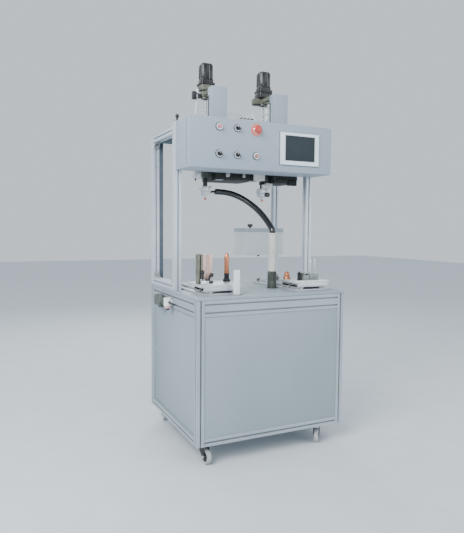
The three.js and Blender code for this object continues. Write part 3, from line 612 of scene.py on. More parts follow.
def spread(low, high, pitch):
    """Even places from low to high, no further apart than the pitch."""
    count = max(1, math.ceil((high - low) / pitch))
    return [low + (high - low) * k / count for k in range(count + 1)]


def rim_places(low, high, axis, face, facing, inset, pitch):
    """Places along the rim of a rectangle that stands across the given axis."""
    u, v = [k for k in range(3) if k != axis]
    places = []
    ends_u = (low[u] + inset, high[u] - inset)
    ends_v = (low[v] + inset, high[v] - inset)
    for across in spread(*ends_u, pitch):
        places += [(across, ends_v[0]), (across, ends_v[1])]
    for across in spread(*ends_v, pitch)[1:-1]:
        places += [(ends_u[0], across), (ends_u[1], across)]
    found = []
    for first, second in places:
        point = Vector((0, 0, 0))
        point[axis], point[u], point[v] = face, first, second
        found.append((point, facing))
    return found


def make_panel_screws():
    places = []
    for node, axis, facing in (
        ("rear_panel", 1, (0, 1, 0)),
        ("left_panel", 0, (-1, 0, 0)),
        ("right_panel", 0, (1, 0, 0)),
    ):
        low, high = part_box(node)
        face = high[axis] if sum(facing) > 0 else low[axis]
        places += rim_places(low, high, axis, face, facing, 0.014, 0.3)
    make_screws("panel_screws", "machine", places, 0.9)


def make_louvres():
    """Pressed louvres let the heat out through the rear panel."""
    bm = bmesh.new()
    low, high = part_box("rear_panel")
    middle, half = (low[0] + high[0]) / 2, LOUVRE_HALF
    for k in range(LOUVRE_COUNT):
        z = high[2] - LOUVRE_DROP - k * LOUVRE_PITCH
        section = [(0, 0), (0.006, -0.009), (0.006, -0.0105), (0, -0.012)]
        rows = []
        for x, squeeze in (
            (middle - half, 0.05), (middle - half + 0.006, 1), (middle + half - 0.006, 1),
            (middle + half, 0.05)
        ):
            rows.append(
                [bm.verts.new((x, high[1] - 0.0002 + out * squeeze, z + up)) for out, up in section]
            )
        for near, far in zip(rows, rows[1:]):
            for i in range(4):
                j = (i + 1) % 4
                bm.faces.new((near[i], far[i], far[j], near[j]))
        bm.faces.new(rows[0])
        bm.faces.new(reversed(rows[-1]))
    outward_piece("rear_louvres", bm, "machine", panel_paint)


make_sheets()
make_base()
make_panel_screws()
make_louvres()


# ---- Profile joints ----
# Die-cast angle brackets sit in the inner corners of the frame, each held by two button-head screws in the
# slots. Black moulded caps close the open ends of the posts, and a small black knob is screwed into the
# front left one.
BRACKET_REACH = 0.034
BRACKET_WIDTH = 0.030
BRACKET_THICK = 0.0045

cast_zinc = make_finish(
    "cast_zinc", (0.36, 0.38, 0.40), (0.48, 0.50, 0.52), (0.42, 0.56), 0.6, cloud=30, grain=600, relief=0.2
)
black_plastic = make_finish(
    "black_plastic", (0.014, 0.015, 0.017), (0.026, 0.028, 0.030), (0.32, 0.46), grain=800, relief=0.15
)


def add_bracket(bm, corner, first, second):
    """An angle bracket with two ribs, from its inner corner along two directions."""
    first, second = Vector(first), Vector(second)
    across = first.cross(second)
    frame_turn = Matrix((first, second, across)).transposed().to_4x4()
    place = Matrix.Translation(corner) @ frame_turn
    half = BRACKET_WIDTH / 2
    start = len(bm.verts)
    add_box(bm, (0, 0, -half), (BRACKET_REACH, BRACKET_THICK, half), 0.0008)
    add_box(bm, (0, 0, -half), (BRACKET_THICK, BRACKET_REACH, half), 0.0008)
    for side in (-half, half - 0.003):
        outline = [(0.004, 0.004), (BRACKET_REACH - 0.002, 0.004), (0.004, BRACKET_REACH - 0.002)]
        low = [bm.verts.new((x, y, side)) for x, y in outline]
        high = [bm.verts.new((x, y, side + 0.003)) for x, y in outline]
        bm.faces.new(reversed(low))
        bm.faces.new(high)
        for k in range(3):
            j = (k + 1) % 3
            bm.faces.new((low[k], low[j], high[j], high[k]))
    bm.verts.ensure_lookup_table()
    for vert in bm.verts[start:]:
        vert.co = place @ vert.co


def make_brackets():
    corners = []
    for y in (367, 710):
        along = 1 if y == 367 else -1
        for x in (20, 840):
            corners.append((at(x, y, 1670), (0, along, 0), (0, 0, -1)))
    corners += [(at(20, 367, 881), (0, 1, 0), (0, 0, 1)), (at(20, 710, 881), (0, -1, 0), (0, 0, 1))]
    corners += [(at(840, 367, 841), (0, 1, 0), (0, 0, 1))]
    corners += [(at(840, 710, 841), (0, -1, 0), (0, 0, 1))]
    corners += [(at(40, 730, 841), (1, 0, 0), (0, 0, 1)), (at(820, 347, 841), (-1, 0, 0), (0, 0, 1))]
    bm = bmesh.new()
    screws = []
    for corner, first, second in corners:
        add_bracket(bm, corner, first, second)
        for along, out in ((Vector(first), Vector(second)), (Vector(second), Vector(first))):
            screws.append((Vector(corner) + along * 0.020 + out * BRACKET_THICK, out))
    outward_piece("frame_brackets", bm, "machine", cast_zinc)
    make_screws("bracket_screws", "machine", screws, 1.2)


def make_end_caps():
    bm = bmesh.new()
    for x, y, z in ((0, 327, 1733), (820, 327, 1733), (0, 710, 1710), (820, 710, 1710)):
        add_box(bm, at(x + 0.5, y + 0.5, z - 0.5), at(x + 39.5, y + 39.5, z + 2.6), 0.001, 3)
    finish_piece("post_end_caps", bm, "machine", black_plastic)


def make_post_knob():
    bm = bmesh.new()
    levels = [1733.2, 1739, 1740, 1752, 1754, 1766, 1771]
    add_tube(bm, [at(20, 347, z) for z in levels], [0.011, 0.011, 0.005, 0.005, 0.009, 0.010, 0.006], 20)
    finish_piece("post_knob", bm, "machine", black_plastic)


make_brackets()
make_end_caps()
make_post_knob()


# ---- Castors ----
# Twin-race swivel castors with pressed and painted black forks. The wheel has a black nylon centre with a
# moulded grey rubber tread, and turns on a bolt with a lock nut. Each castor hangs from a pad of the base
# with four bolts.
CASTORS = {
    "front_left": (62, 70, 8),
    "front_right": (748, 70, -38),
    "rear_left": (62, 680, 160),
    "rear_right": (748, 680, 205),
}
WHEEL_RADIUS = 0.0375
FORK_TRAIL = 0.030
FORK_GAP = 0.0145
FORK_WALL = 0.003
CROWN_HEIGHT = 0.0987

castor_paint = make_finish(
    "castor_paint", (0.016, 0.017, 0.018), (0.032, 0.033, 0.034), (0.26, 0.42), grain=260, relief=0.2
)
grey_tread = make_finish(
    "grey_tread", (0.34, 0.36, 0.36), (0.46, 0.48, 0.48), (0.60, 0.78), cloud=40, grain=900, relief=0.3
)


def add_lathe(bm, outline, place, axis, sides=32):
    """Turns (radius, height) points about an axis through the place; a radius of 0 closes an end."""
    turn = Vector((0, 0, 1)).rotation_difference(Vector(axis)).to_matrix().to_4x4()
    frame_turn = Matrix.Translation(place) @ turn
    rings = []
    for radius, height in outline:
        if radius == 0:
            rings.append([bm.verts.new(frame_turn @ Vector((0, 0, height)))])
            continue
        angles = [2 * math.pi * k / sides for k in range(sides)]
        rings.append(
            [
                bm.verts.new(frame_turn @ Vector((radius * math.cos(a), radius * math.sin(a), height)))
                for a in angles
            ]
        )
    for near, far in zip(rings, rings[1:]):
        for k in range(sides):
            j = (k + 1) % sides
            corners = [near[k % len(near)], near[j % len(near)], far[j % len(far)], far[k % len(far)]]
            corners = [c for i, c in enumerate(corners) if c not in corners[:i]]
            if len(corners) > 2:
                bm.faces.new(corners)


def add_plate(bm, outline, low, high, turn=Matrix(), edge=0.0):
    """A flat outline of (x, y) points, made thick from low to high along z and then turned into place."""
    bottom = [bm.verts.new((x, y, low)) for x, y in outline]
    top = [bm.verts.new((x, y, high)) for x, y in outline]
    faces = [bm.faces.new(reversed(bottom)), bm.faces.new(top)]
    for k in range(len(outline)):
        j = (k + 1) % len(outline)
        faces.append(bm.faces.new((bottom[k], bottom[j], top[j], top[k])))
    verts = set(bottom + top)
    if edge:
        rims = [rim for face in faces[:2] for rim in face.edges]
        made = bmesh.ops.bevel(bm, geom=rims, offset=edge, segments=2, profile=0.5, affect="EDGES")
        verts = {v for v in verts if v.is_valid} | set(made["verts"])
    for vert in verts:
        vert.co = turn @ vert.co


def arc(x, y, radius, start, stop, steps):
    """Points on an arc, with its angles in degrees."""
    angles = [math.radians(start + (stop - start) * k / steps) for k in range(steps + 1)]
    return [(x + radius * math.cos(a), y + radius * math.sin(a)) for a in angles]


def make_castor(corner, x, y, heading):
    turn = Matrix.Translation(at(x, y, 0)) @ Matrix.Rotation(math.radians(heading), 4, "Z")
    side = turn.to_3x3() @ Vector((1, 0, 0))
    axle = turn @ Vector((0, -FORK_TRAIL, WHEEL_RADIUS))

    bm = bmesh.new()
    tread = [
        (0.0245, -0.0095), (0.0300, -0.0105), (0.0345, -0.0118), (0.0362, -0.0098), (0.0372, -0.0050),
        (0.0375, 0)
    ]
    tread += [(radius, -along) for radius, along in reversed(tread[:-1])]
    tread.append(tread[0])
    add_lathe(bm, tread, axle, side, 48)
    finish_piece(
        "castor_tread_" + corner, bm, "castor_wheel_" + corner, grey_tread,
        ["castor_wheel_" + corner]
    )

    bm = bmesh.new()
    centre = [
        (0.0056, -0.0122), (0.0105, -0.0122), (0.0115, -0.0112), (0.0125, -0.0085), (0.0205, -0.0075),
        (0.0225, -0.0095)
    ]
    centre += [(0.0249, -0.0100)]
    centre += [(radius, -along) for radius, along in reversed(centre)]
    centre.append(centre[0])
    add_lathe(bm, centre, axle, side, 40)
    finish_piece("castor_centre_" + corner, bm, "castor_wheel_" + corner, black_plastic)

    bm = bmesh.new()
    leg = [(0.025, 0.0865), (0.0235, 0.076), (0.012, 0.063), (-0.006, 0.051), (-0.0195, 0.0325)]
    leg += arc(-FORK_TRAIL, WHEEL_RADIUS, 0.0112, -28, -180, 9)
    leg += [(-0.0405, 0.049), (-0.0385, 0.066), (-0.033, 0.079), (-0.025, 0.0865)]
    stand = Matrix(((0, 0, 1, 0), (1, 0, 0, 0), (0, 1, 0, 0), (0, 0, 0, 1)))
    for low in (-FORK_GAP - FORK_WALL, FORK_GAP):
        add_plate(bm, leg, low, low + FORK_WALL, turn @ stand, 0.0008)
    crown = arc(0, 0, 0.0268, 60, 120, 6) + arc(0, 0, 0.0268, 240, 300, 6)
    crown = [(max(-0.0175, min(0.0175, px)), py) for px, py in crown]
    add_plate(bm, crown, 0.0835, 0.0868, turn, 0.0008)
    race = [
        (0, 0.0868), (0.0262, 0.0868), (0.0268, 0.0880), (0.0268, 0.0908), (0.0252, 0.0914),
        (0.0252, 0.0924)
    ]
    race += [(0.0268, 0.0930), (0.0268, 0.0975), (0.0255, CROWN_HEIGHT), (0, CROWN_HEIGHT)]
    add_lathe(bm, race, turn @ Vector((0, 0, 0)), (0, 0, 1), 40)
    outward_piece(
        "castor_fork_" + corner + "_pressed", bm, "castor_fork_" + corner, castor_paint,
        ["castor_fork_" + corner]
    )

    bm = bmesh.new()
    for sign in (-1, 1):
        face = axle + side * sign * (FORK_GAP + FORK_WALL)
        nut = [
            (0, 0.0032), (0.0045, 0.0032), (0.0068, 0.0024), (0.0068, 0.0003), (0.0080, 0.0003),
            (0.0080, 0), (0, 0)
        ]
        add_lathe(bm, nut, face, side * sign, 6 if sign > 0 else 24)
    bolt = [
        (0, -FORK_GAP - 0.002), (0.0049, -FORK_GAP - 0.002), (0.0049, FORK_GAP + 0.002),
        (0, FORK_GAP + 0.002)
    ]
    add_lathe(bm, bolt, axle, side, 20)
    outward_piece("castor_axle_" + corner, bm, "castor_fork_" + corner, bright_steel)


def make_pads():
    bm = bmesh.new()
    bolts = []
    for x, y, _ in CASTORS.values():
        add_box(bm, at(x - 45, y - 37, 99), at(x + 45, y + 37, 103.1), 0.0012)
        for dx in (-36, 36):
            for dy in (-29, 29):
                bolts.append((at(x + dx, y + dy, 99), (0, 0, -1)))
    finish_piece("castor_pads", bm, "machine", tray_zinc)
    make_screws("castor_bolts", "machine", bolts, 1.5)


for corner, (x, y, heading) in CASTORS.items():
    make_castor(corner, x, y, heading)
make_pads()


# ---- Deck ----
# A folded and painted steel deck lies on the side beams, under the columns. It is screwed down along both
# sides. The valve block of the air circuit stands on it between the columns, with white push-in tubes to
# both heads.
DECK_TOP = 1714.5
MANIFOLD_TOP = 1732
VALVE_TOP = 1796
VALVE_COUNT = 4
VALVE_PITCH = 24
TUBE_RADIUS = 0.003

white_enamel = make_finish(
    "white_enamel", (0.74, 0.76, 0.77), (0.84, 0.86, 0.87), (0.28, 0.40), grain=300, relief=0.06
)
tube_white = make_finish(
    "tube_white", (0.72, 0.75, 0.78), (0.82, 0.85, 0.88), (0.18, 0.26), grain=300, relief=0.02
)


def paint_node(node, material):
    """Gives a CAD node that stays in the model its finish."""
    mesh = bpy.data.objects[node].data
    mesh.materials.clear()
    mesh.materials.append(material)


def make_deck():
    paint_node("deck_plate", panel_paint)
    places = []
    for y in spread(390, 690, 100):
        places += [(at(20, y, 1714.3), (0, 0, 1)), (at(840, y, 1714.3), (0, 0, 1))]
    make_screws("deck_screws", "machine", places, 1.1)


def make_valves():
    bm = bmesh.new()
    add_box(bm, at(452, 488, DECK_TOP), at(574, 562, MANIFOLD_TOP), 0.0015)
    for k in range(VALVE_COUNT):
        x = 466 + k * VALVE_PITCH
        add_box(bm, at(x, 494, MANIFOLD_TOP), at(x + 20, 556, VALVE_TOP), 0.002)
        add_box(bm, at(x + 2, 497, VALVE_TOP), at(x + 18, 524, 1816), 0.002)
    finish_piece("valve_bodies", bm, "machine", white_enamel)
    bm = bmesh.new()
    for k in range(VALVE_COUNT):
        x = 476 + k * VALVE_PITCH
        add_lathe(
            bm, [(0, 0.010), (0.0042, 0.010), (0.0052, 0.008), (0.0052, 0), (0, 0)], at(x, 546, VALVE_TOP),
            (0, 0, 1), 16
        )
        add_box(bm, at(x - 6, 499, 1816), at(x + 6, 520, 1823), 0.0015)
    outward_piece("valve_fittings", bm, "machine", black_plastic)
    bm = bmesh.new()
    for k in range(VALVE_COUNT):
        x = 476 + k * VALVE_PITCH
        side = -1 if k < VALVE_COUNT / 2 else 1
        reach = 300 if side < 0 else 585
        lift = 1836 + 9 * (k % 2)
        route = [
            at(x, 546, 1804), at(x, 546, 1822), at(x + side * 12, 543, lift),
            at((x + reach) / 2, 530, lift + 6)
        ]
        route += [
            at(reach - side * 14, 512 - 9 * k, 1776), at(reach, 505 - 9 * k, 1736),
            at(reach, 503 - 9 * k, 1716)
        ]
        add_tube(bm, smooth_line(route, 0.006), TUBE_RADIUS, 10)
    finish_piece("valve_tubes", bm, "machine", tube_white, sharp=60)


make_deck()
make_valves()


# ---- Control box and touch panel ----
# The control box is folded steel sheet with a powder coat, and its front carries the controls. The touch
# panel stands in a cut-out at the right end, held by clips behind a cast bezel with a dark glass screen.
BOX_EDGE = 0.003
GLASS_RECESS = 0.0015

box_paint = make_finish(
    "box_paint", (0.300, 0.362, 0.425), (0.325, 0.388, 0.450), (0.36, 0.46), cloud=2.0, grain=460,
    relief=0.14
)
bezel_metal = make_finish(
    "bezel_metal", (0.60, 0.69, 0.76), (0.68, 0.77, 0.84), (0.26, 0.36), 0.25, grain=500, relief=0.05
)
screen_glass = make_finish(
    "screen_glass", (0.008, 0.017, 0.023), (0.013, 0.024, 0.031), (0.56, 0.66), grain=200, relief=0.01
)


def add_frame(bm, outer, inner, steps):
    """A frame between two rectangles (x0, x1, z0, z1); each step is a share of the way in and a depth y."""
    rings = []
    for share, depth in steps:
        x0, x1, z0, z1 = [a + (b - a) * share for a, b in zip(outer, inner)]
        rings.append(
            [bm.verts.new(p) for p in ((x0, depth, z0), (x1, depth, z0), (x1, depth, z1), (x0, depth, z1))]
        )
    for near, far in zip(rings, rings[1:]):
        for k in range(4):
            j = (k + 1) % 4
            bm.faces.new((near[k], near[j], far[j], far[k]))
    return rings


def make_control_box():
    low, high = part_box("control_box")
    bm = bmesh.new()
    add_box(bm, low, high, BOX_EDGE, 3)
    finish_piece("control_box_shell", bm, "machine", box_paint, ["control_box"])
    bm = bmesh.new()
    for x in (low[0] - 0.0007, high[0] + 0.0002):
        add_box(bm, (x, low[1] + 0.030, low[2] + 0.012), (x + 0.0005, low[1] + 0.0312, high[2] - 0.012), 0)
    finish_piece("control_box_seams", bm, "machine", black_plastic)
    screws = []
    for z in (low[2] + 0.02, (low[2] + high[2]) / 2, high[2] - 0.02):
        screws += [
            (Vector((low[0], high[1] - 0.02, z)), (-1, 0, 0)),
            (Vector((high[0], high[1] - 0.02, z)), (1, 0, 0))
        ]
    for x in spread(low[0] + 0.03, high[0] - 0.03, 0.28):
        screws.append((Vector((x, high[1] - 0.02, low[2])), (0, 0, -1)))
        screws.append((Vector((x, high[1] - 0.02, high[2])), (0, 0, 1)))
    make_screws("control_box_screws", "machine", screws, 0.9)


def make_touch_panel():
    low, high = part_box("touch_panel")
    outer = (low[0], high[0], low[2], high[2])
    inner = (low[0] + 0.038, high[0] - 0.035, low[2] + 0.030, high[2] - 0.023)
    face, back = low[1], high[1]
    bm = bmesh.new()
    steps = [
        (0, back), (0, face + 0.003), (0.03, face + 0.001), (0.08, face), (0.66, face),
        (0.72, face + 0.0006)
    ]
    rings = add_frame(bm, outer, inner, steps + [(0.74, face + 0.0022), (1, face + 0.0035), (1, back)])
    for k in range(4):
        j = (k + 1) % 4
        bm.faces.new((rings[-1][k], rings[-1][j], rings[0][j], rings[0][k]))
    outward_piece("touch_panel_bezel", bm, "machine", bezel_metal, ["touch_panel"], 20)
    bm = bmesh.new()
    x0, x1, z0, z1 = inner
    add_box(bm, (x0 - 0.004, face + GLASS_RECESS, z0 - 0.004), (x1 + 0.004, back, z1 + 0.004), 0.0006)
    finish_piece("touch_panel_glass", bm, "machine", screen_glass)
    bm = bmesh.new()
    for x, z, wide, tall in (
        (x0 - 0.006, z0 - 0.006, x1 - x0 + 0.012, 0.004), (x0 - 0.006, z1 + 0.002, x1 - x0 + 0.012, 0.004)
    ):
        add_box(bm, (x, face + 0.0006, z), (x + wide, face + 0.003, z + tall), 0.0004)
    for x in (x0 - 0.006, x1 + 0.002):
        add_box(bm, (x, face + 0.0006, z0 - 0.002), (x + 0.004, face + 0.003, z1 + 0.002), 0.0004)
    finish_piece("touch_panel_gasket", bm, "machine", black_plastic)
    bm = bmesh.new()
    seal_rim = (outer[0] - 0.002, outer[1] + 0.002, outer[2] - 0.002, outer[3] + 0.002)
    add_frame(bm, seal_rim, outer, [(0, back + 0.0002), (0, back - 0.0008), (1, back - 0.0008)])
    finish_piece("touch_panel_seal", bm, "machine", black_plastic)


make_control_box()
make_touch_panel()


# ---- Controls ----
# Standard 22 mm pilot devices with chromed collars: two lit push buttons, three selectors with black grips
# and a white pointer, and a red mushroom emergency stop over a pale round plate. Each is clamped in its
# hole by a nut.
CONTROL_FACE = 139
CONTROL_PLACES = {
    "start_button": (170, 1686),
    "reset_button": (382, 1551),
    "mode_selector": (272, 1686),
    "left_head_selector": (170, 1551),
    "right_head_selector": (272, 1551),
    "emergency_stop": (382, 1686),
}
SHAFT_END = (0.0103, -0.012)
SEAL_THICK = 0.0012
STOP_PLATE_THICK = 0.0034
COLLAR_BORE = 0.0108
COLLAR_RADIUS = 0.0180
COLLAR_TALL = 0.0085
STOP_COLLAR_TALL = 0.0034

chrome = make_finish(
    "chrome", (0.70, 0.71, 0.72), (0.82, 0.83, 0.84), (0.06, 0.16), 1.0, grain=300, relief=0.02
)
red_button = make_finish(
    "red_button", (0.46, 0.035, 0.028), (0.56, 0.055, 0.040), (0.18, 0.28), grain=300, relief=0.03, coat=0.3
)
rose_lens = make_finish(
    "rose_lens", (0.44, 0.15, 0.22), (0.52, 0.20, 0.27), (0.10, 0.20), grain=300, relief=0.02, coat=0.5
)
brown_lens = make_finish(
    "brown_lens", (0.30, 0.15, 0.15), (0.38, 0.20, 0.20), (0.12, 0.22), grain=300, relief=0.02, coat=0.5
)
pale_red = make_finish(
    "pale_red_plate", (0.66, 0.17, 0.14), (0.72, 0.21, 0.17), (0.30, 0.42), grain=300, relief=0.03
)


def control_place(name, raised=0.0):
    """The middle of a control on the front of the box, or a little in front of it."""
    x, z = CONTROL_PLACES[name]
    return at(x, CONTROL_FACE - raised * 1000, z)


def add_collar(bm, place, tall):
    radius, bore = COLLAR_RADIUS, COLLAR_BORE
    outline = [(bore, 0.0001), (radius, 0.0001), (radius, tall * 0.35), (radius - 0.0012, tall * 0.8)]
    outline += [(radius - 0.0026, tall), (bore + 0.0006, tall), (bore, tall * 0.7), (bore, 0.0001)]
    add_lathe(bm, outline, place, (0, -1, 0), 40)


def turned_piece(name, outline, place, axis, sides, body, material, replaces=(), sharp=35):
    """A piece that is one turned shape."""
    bm = bmesh.new()
    add_lathe(bm, outline, place, axis, sides)
    return outward_piece(name, bm, body, material, replaces, sharp)


def make_button(name, lens):
    place = control_place(name)
    outline = [
        (0, SHAFT_END[1]), SHAFT_END, (0.0103, 0.0075), (0.0122, 0.0082), (0.0124, 0.0140), (0.0116, 0.0156)
    ]
    turned_piece(
        name + "_cap", outline + [(0.0090, 0.0164), (0.0050, 0.0169), (0, 0.0170)], place, (0, -1, 0), 36,
        name, lens, [name]
    )


def make_selector(name):
    place = control_place(name)
    bm = bmesh.new()
    outline = [
        (0, SHAFT_END[1]), SHAFT_END, (0.0103, 0.0062), (0.0132, 0.0064), (0.0138, 0.0075), (0.0138, 0.0115)
    ]
    add_lathe(bm, outline + [(0.0126, 0.0130), (0, 0.0130)], place, (0, -1, 0), 36)
    turn = Matrix.Translation(place) @ Matrix.Rotation(math.radians(-45), 4, "Y")
    lay = Matrix(((1, 0, 0, 0), (0, 0, -1, 0), (0, 1, 0, 0), (0, 0, 0, 1)))
    grip = arc(0, 0.0085, 0.0048, 0, 180, 8) + arc(0, -0.0085, 0.0048, 180, 360, 8)
    add_plate(bm, grip, 0.0120, 0.0236, turn @ lay, 0.0009)
    outward_piece(name + "_grip", bm, name, black_plastic, [name])
    bm = bmesh.new()
    add_plate(
        bm, [(-0.0010, 0.0035), (0.0010, 0.0035), (0.0010, 0.0118), (-0.0010, 0.0118)], 0.0230, 0.0240,
        turn @ lay
    )
    outward_piece(name + "_pointer", bm, name, white_enamel)


def make_emergency_stop(name):
    place = control_place(name)
    outline = [
        (0, SHAFT_END[1]), SHAFT_END, (0.0103, 0.0135), (0.0165, 0.0142), (0.0194, 0.0165), (0.0199, 0.0215)
    ]
    turned_piece(
        name + "_mushroom", outline + [(0.0188, 0.0262), (0.0150, 0.0290), (0.0080, 0.0299), (0, 0.0300)],
        place, (0, -1, 0), 44, name, red_button, [name]
    )
    ring = [
        (0.0118, 0.0001), (0.0320, 0.0001), (0.0320, 0.0024), (0.0308, STOP_PLATE_THICK),
        (0.0118, STOP_PLATE_THICK), (0.0118, 0.0001)
    ]
    turned_piece("emergency_stop_plate", ring, place, (0, -1, 0), 48, "machine", pale_red)


def make_controls():
    make_button("start_button", rose_lens)
    make_button("reset_button", brown_lens)
    make_selector("mode_selector")
    make_selector("left_head_selector")
    make_selector("right_head_selector")
    make_emergency_stop("emergency_stop")
    collars = bmesh.new()
    seals = bmesh.new()
    seal = [
        (0.0112, 0), (0.0204, 0), (0.0208, 0.0004), (0.0204, SEAL_THICK), (0.0112, SEAL_THICK), (0.0112, 0)
    ]
    for name in CONTROL_PLACES:
        if name == "emergency_stop":
            add_collar(collars, control_place(name, STOP_PLATE_THICK), STOP_COLLAR_TALL)
        else:
            add_collar(collars, control_place(name, SEAL_THICK), COLLAR_TALL)
            add_lathe(seals, seal, control_place(name), (0, -1, 0), 40)
    outward_piece("control_collars", collars, "machine", chrome)
    outward_piece("control_seals", seals, "machine", black_plastic)


make_controls()


# ---- Columns, motor mounts and motors ----
# Each axis has a folded sheet column screwed to the deck. A cast bracket on its back carries the bearing of
# the feed screw, with a gearhead and a black servo motor bolted on top. The screw runs down into the hollow
# ram.
AXES = {"left": (241, 490), "right": (611, 490)}
THREAD_PITCH = 0.004
THREAD_LOW = 1.616
THREAD_HIGH = 1.898

motor_black = make_finish(
    "motor_black", (0.006, 0.007, 0.008), (0.010, 0.011, 0.013), (0.26, 0.30), grain=240, relief=0.02
)
cast_olive = make_finish(
    "cast_olive", (0.105, 0.112, 0.085), (0.20, 0.205, 0.165), (0.50, 0.66), 0.2, cloud=26, grain=320,
    relief=0.35
)


def make_column(side):
    low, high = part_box("axis_column_" + side)
    bm = bmesh.new()
    add_box(bm, low, high, 0.002, 3)
    finish_piece(
        "axis_column_" + side + "_sheet", bm, "machine", box_paint, ["axis_column_" + side]
    )
    bm = bmesh.new()
    add_box(
        bm, (low[0] - 0.0012, high[1] - 0.014, low[2] + 0.006),
        (low[0] + 0.002, high[1] - 0.003, high[2] - 0.045), 0.0005
    )
    add_box(
        bm, (high[0] - 0.002, high[1] - 0.014, low[2] + 0.006),
        (high[0] + 0.0012, high[1] - 0.003, high[2] - 0.045), 0.0005
    )
    finish_piece("axis_column_" + side + "_strips", bm, "machine", black_plastic)
    screws = []
    for z in (low[2] + 0.014, low[2] + 0.075, high[2] - 0.014):
        for x, out in ((low[0], -1), (high[0], 1)):
            screws.append((Vector((x, low[1] + 0.012, z)), (out, 0, 0)))
    make_screws("axis_column_" + side + "_screws", "machine", screws, 0.8)


def rounded(half_x, half_y, radius, steps=4):
    """The outline of a rectangle with round corners, about its middle."""
    points = []
    for x, y, start in ((1, 1, 0), (-1, 1, 90), (-1, -1, 180), (1, -1, 270)):
        points += arc(x * (half_x - radius), y * (half_y - radius), radius, start, start + 90, steps)
    return points


def corner_places(x, y, z, half, facing):
    """Places at the four corners of a square about a point, for screws that face one way."""
    return [(at(x + dx, y + dy, z), facing) for dx in (-half, half) for dy in (-half, half)]


def make_mount(side, x, y):
    bm = bmesh.new()
    middle = Matrix.Translation(at(x, y, 0))
    add_plate(bm, rounded(0.037, 0.037, 0.006), 1.946, 1.976, middle, 0.0012)
    bearing = [
        (0.008, 1.900), (0.024, 1.900), (0.0265, 1.902), (0.0265, 1.909), (0.0300, 1.911), (0.0300, 1.940)
    ]
    bearing += [(0.0280, 1.944), (0.0280, 1.947), (0.008, 1.947), (0.008, 1.900)]
    add_lathe(bm, bearing, at(x, y, 0), (0, 0, 1), 36)
    add_box(bm, at(x - 24, 389.4, 1912), at(x + 24, y - 20, 1934), 0.002, 3)
    for dx in (-18, 12):
        rib = [(0.3894, 1.905), (0.462, 1.912), (0.3894, 1.890)]
        stand = Matrix(
            ((0, 0, 1, MACHINE_ORIGIN.x), (1, 0, 0, MACHINE_ORIGIN.y), (0, 1, 0, 0), (0, 0, 0, 1))
        )
        add_plate(bm, rib, (x + dx) / 1000, (x + dx + 6) / 1000, stand)
    if side == "right":
        add_box(bm, at(x - 68, y - 18, 1906), at(x - 20, y + 18, 1938), 0.002, 3)
    outward_piece(
        "motor_mount_" + side + "_casting", bm, "machine", cast_olive, ["motor_mount_" + side]
    )

    bm = bmesh.new()
    thread = [(0, 1.612), (0.0055, 1.612)]
    count = round((THREAD_HIGH - THREAD_LOW) / THREAD_PITCH)
    for k in range(count):
        level = THREAD_LOW + k * THREAD_PITCH
        thread += [
            (0.0058, level), (0.0069, level + 0.0013), (0.0069, level + 0.0020), (0.0058, level + 0.0033)
        ]
    add_lathe(bm, thread + [(0.0058, 1.903), (0, 1.903)], at(x, y, 0), (0, 0, 1), 16)
    outward_piece("feed_screw_" + side, bm, "machine", bright_steel, sharp=60)

    places = corner_places(x, y, 1946, 29, (0, 0, -1))
    for k in range(6):
        angle = math.radians(60 * k + 30)
        places.append((at(x + 22 * math.cos(angle), y + 22 * math.sin(angle), 1900), (0, 0, -1)))
    make_screws("motor_mount_" + side + "_screws", "machine", places, 0.9)


def make_motor(side, x, y):
    bm = bmesh.new()
    middle = Matrix.Translation(at(x, y, 0))
    add_plate(bm, rounded(0.042, 0.042, 0.009), 1.9763, 1.9885, middle, 0.0010)
    add_plate(bm, rounded(0.0345, 0.0345, 0.008), 1.9880, 2.0080, middle, 0.0012)
    body = [
        (0.0245, -0.033), (0.033, -0.0245), (0.033, -0.010), (0.0318, -0.0085), (0.0318, 0.0085),
        (0.033, 0.010)
    ]
    body += [
        (0.033, 0.0245), (0.0245, 0.033), (0.010, 0.033), (0.0085, 0.0318), (-0.0085, 0.0318),
        (-0.010, 0.033)
    ]
    body += [(-px, -py) for px, py in body]
    add_plate(bm, body, 2.0078, 2.0865, middle, 0.0008)
    add_plate(bm, rounded(0.0285, 0.0285, 0.008), 2.0862, 2.0943, middle, 0.0016)
    add_box(bm, at(x - 14, y + 31, 2054), at(x + 14, y + 43, 2078), 0.002, 3)
    add_lathe(
        bm, [(0.0062, 0), (0.0090, 0.0006), (0.0090, 0.010), (0.0075, 0.012), (0, 0.012), (0, 0)],
        at(x, y + 40, 2048), (0, 0.35, -1), 16
    )
    outward_piece(
        "servo_motor_" + side + "_body", bm, "machine", motor_black, ["servo_motor_" + side],
        25
    )
    places = corner_places(x, y, 1988.5, 35, (0, 0, 1)) + corner_places(x, y, 2094.2, 21, (0, 0, 1))
    make_screws("servo_motor_" + side + "_screws", "machine", places, 0.8)


def make_lower_gearhead():
    """The right gearhead has a second stage, a black housing that hides the seat of its mount."""
    bm = bmesh.new()
    add_plate(
        bm, rounded(0.041, 0.041, 0.008), 1.9400, 1.9760, Matrix.Translation(at(*AXES["right"], 0)), 0.0012
    )
    outward_piece("servo_motor_right_stage", bm, "machine", motor_black)


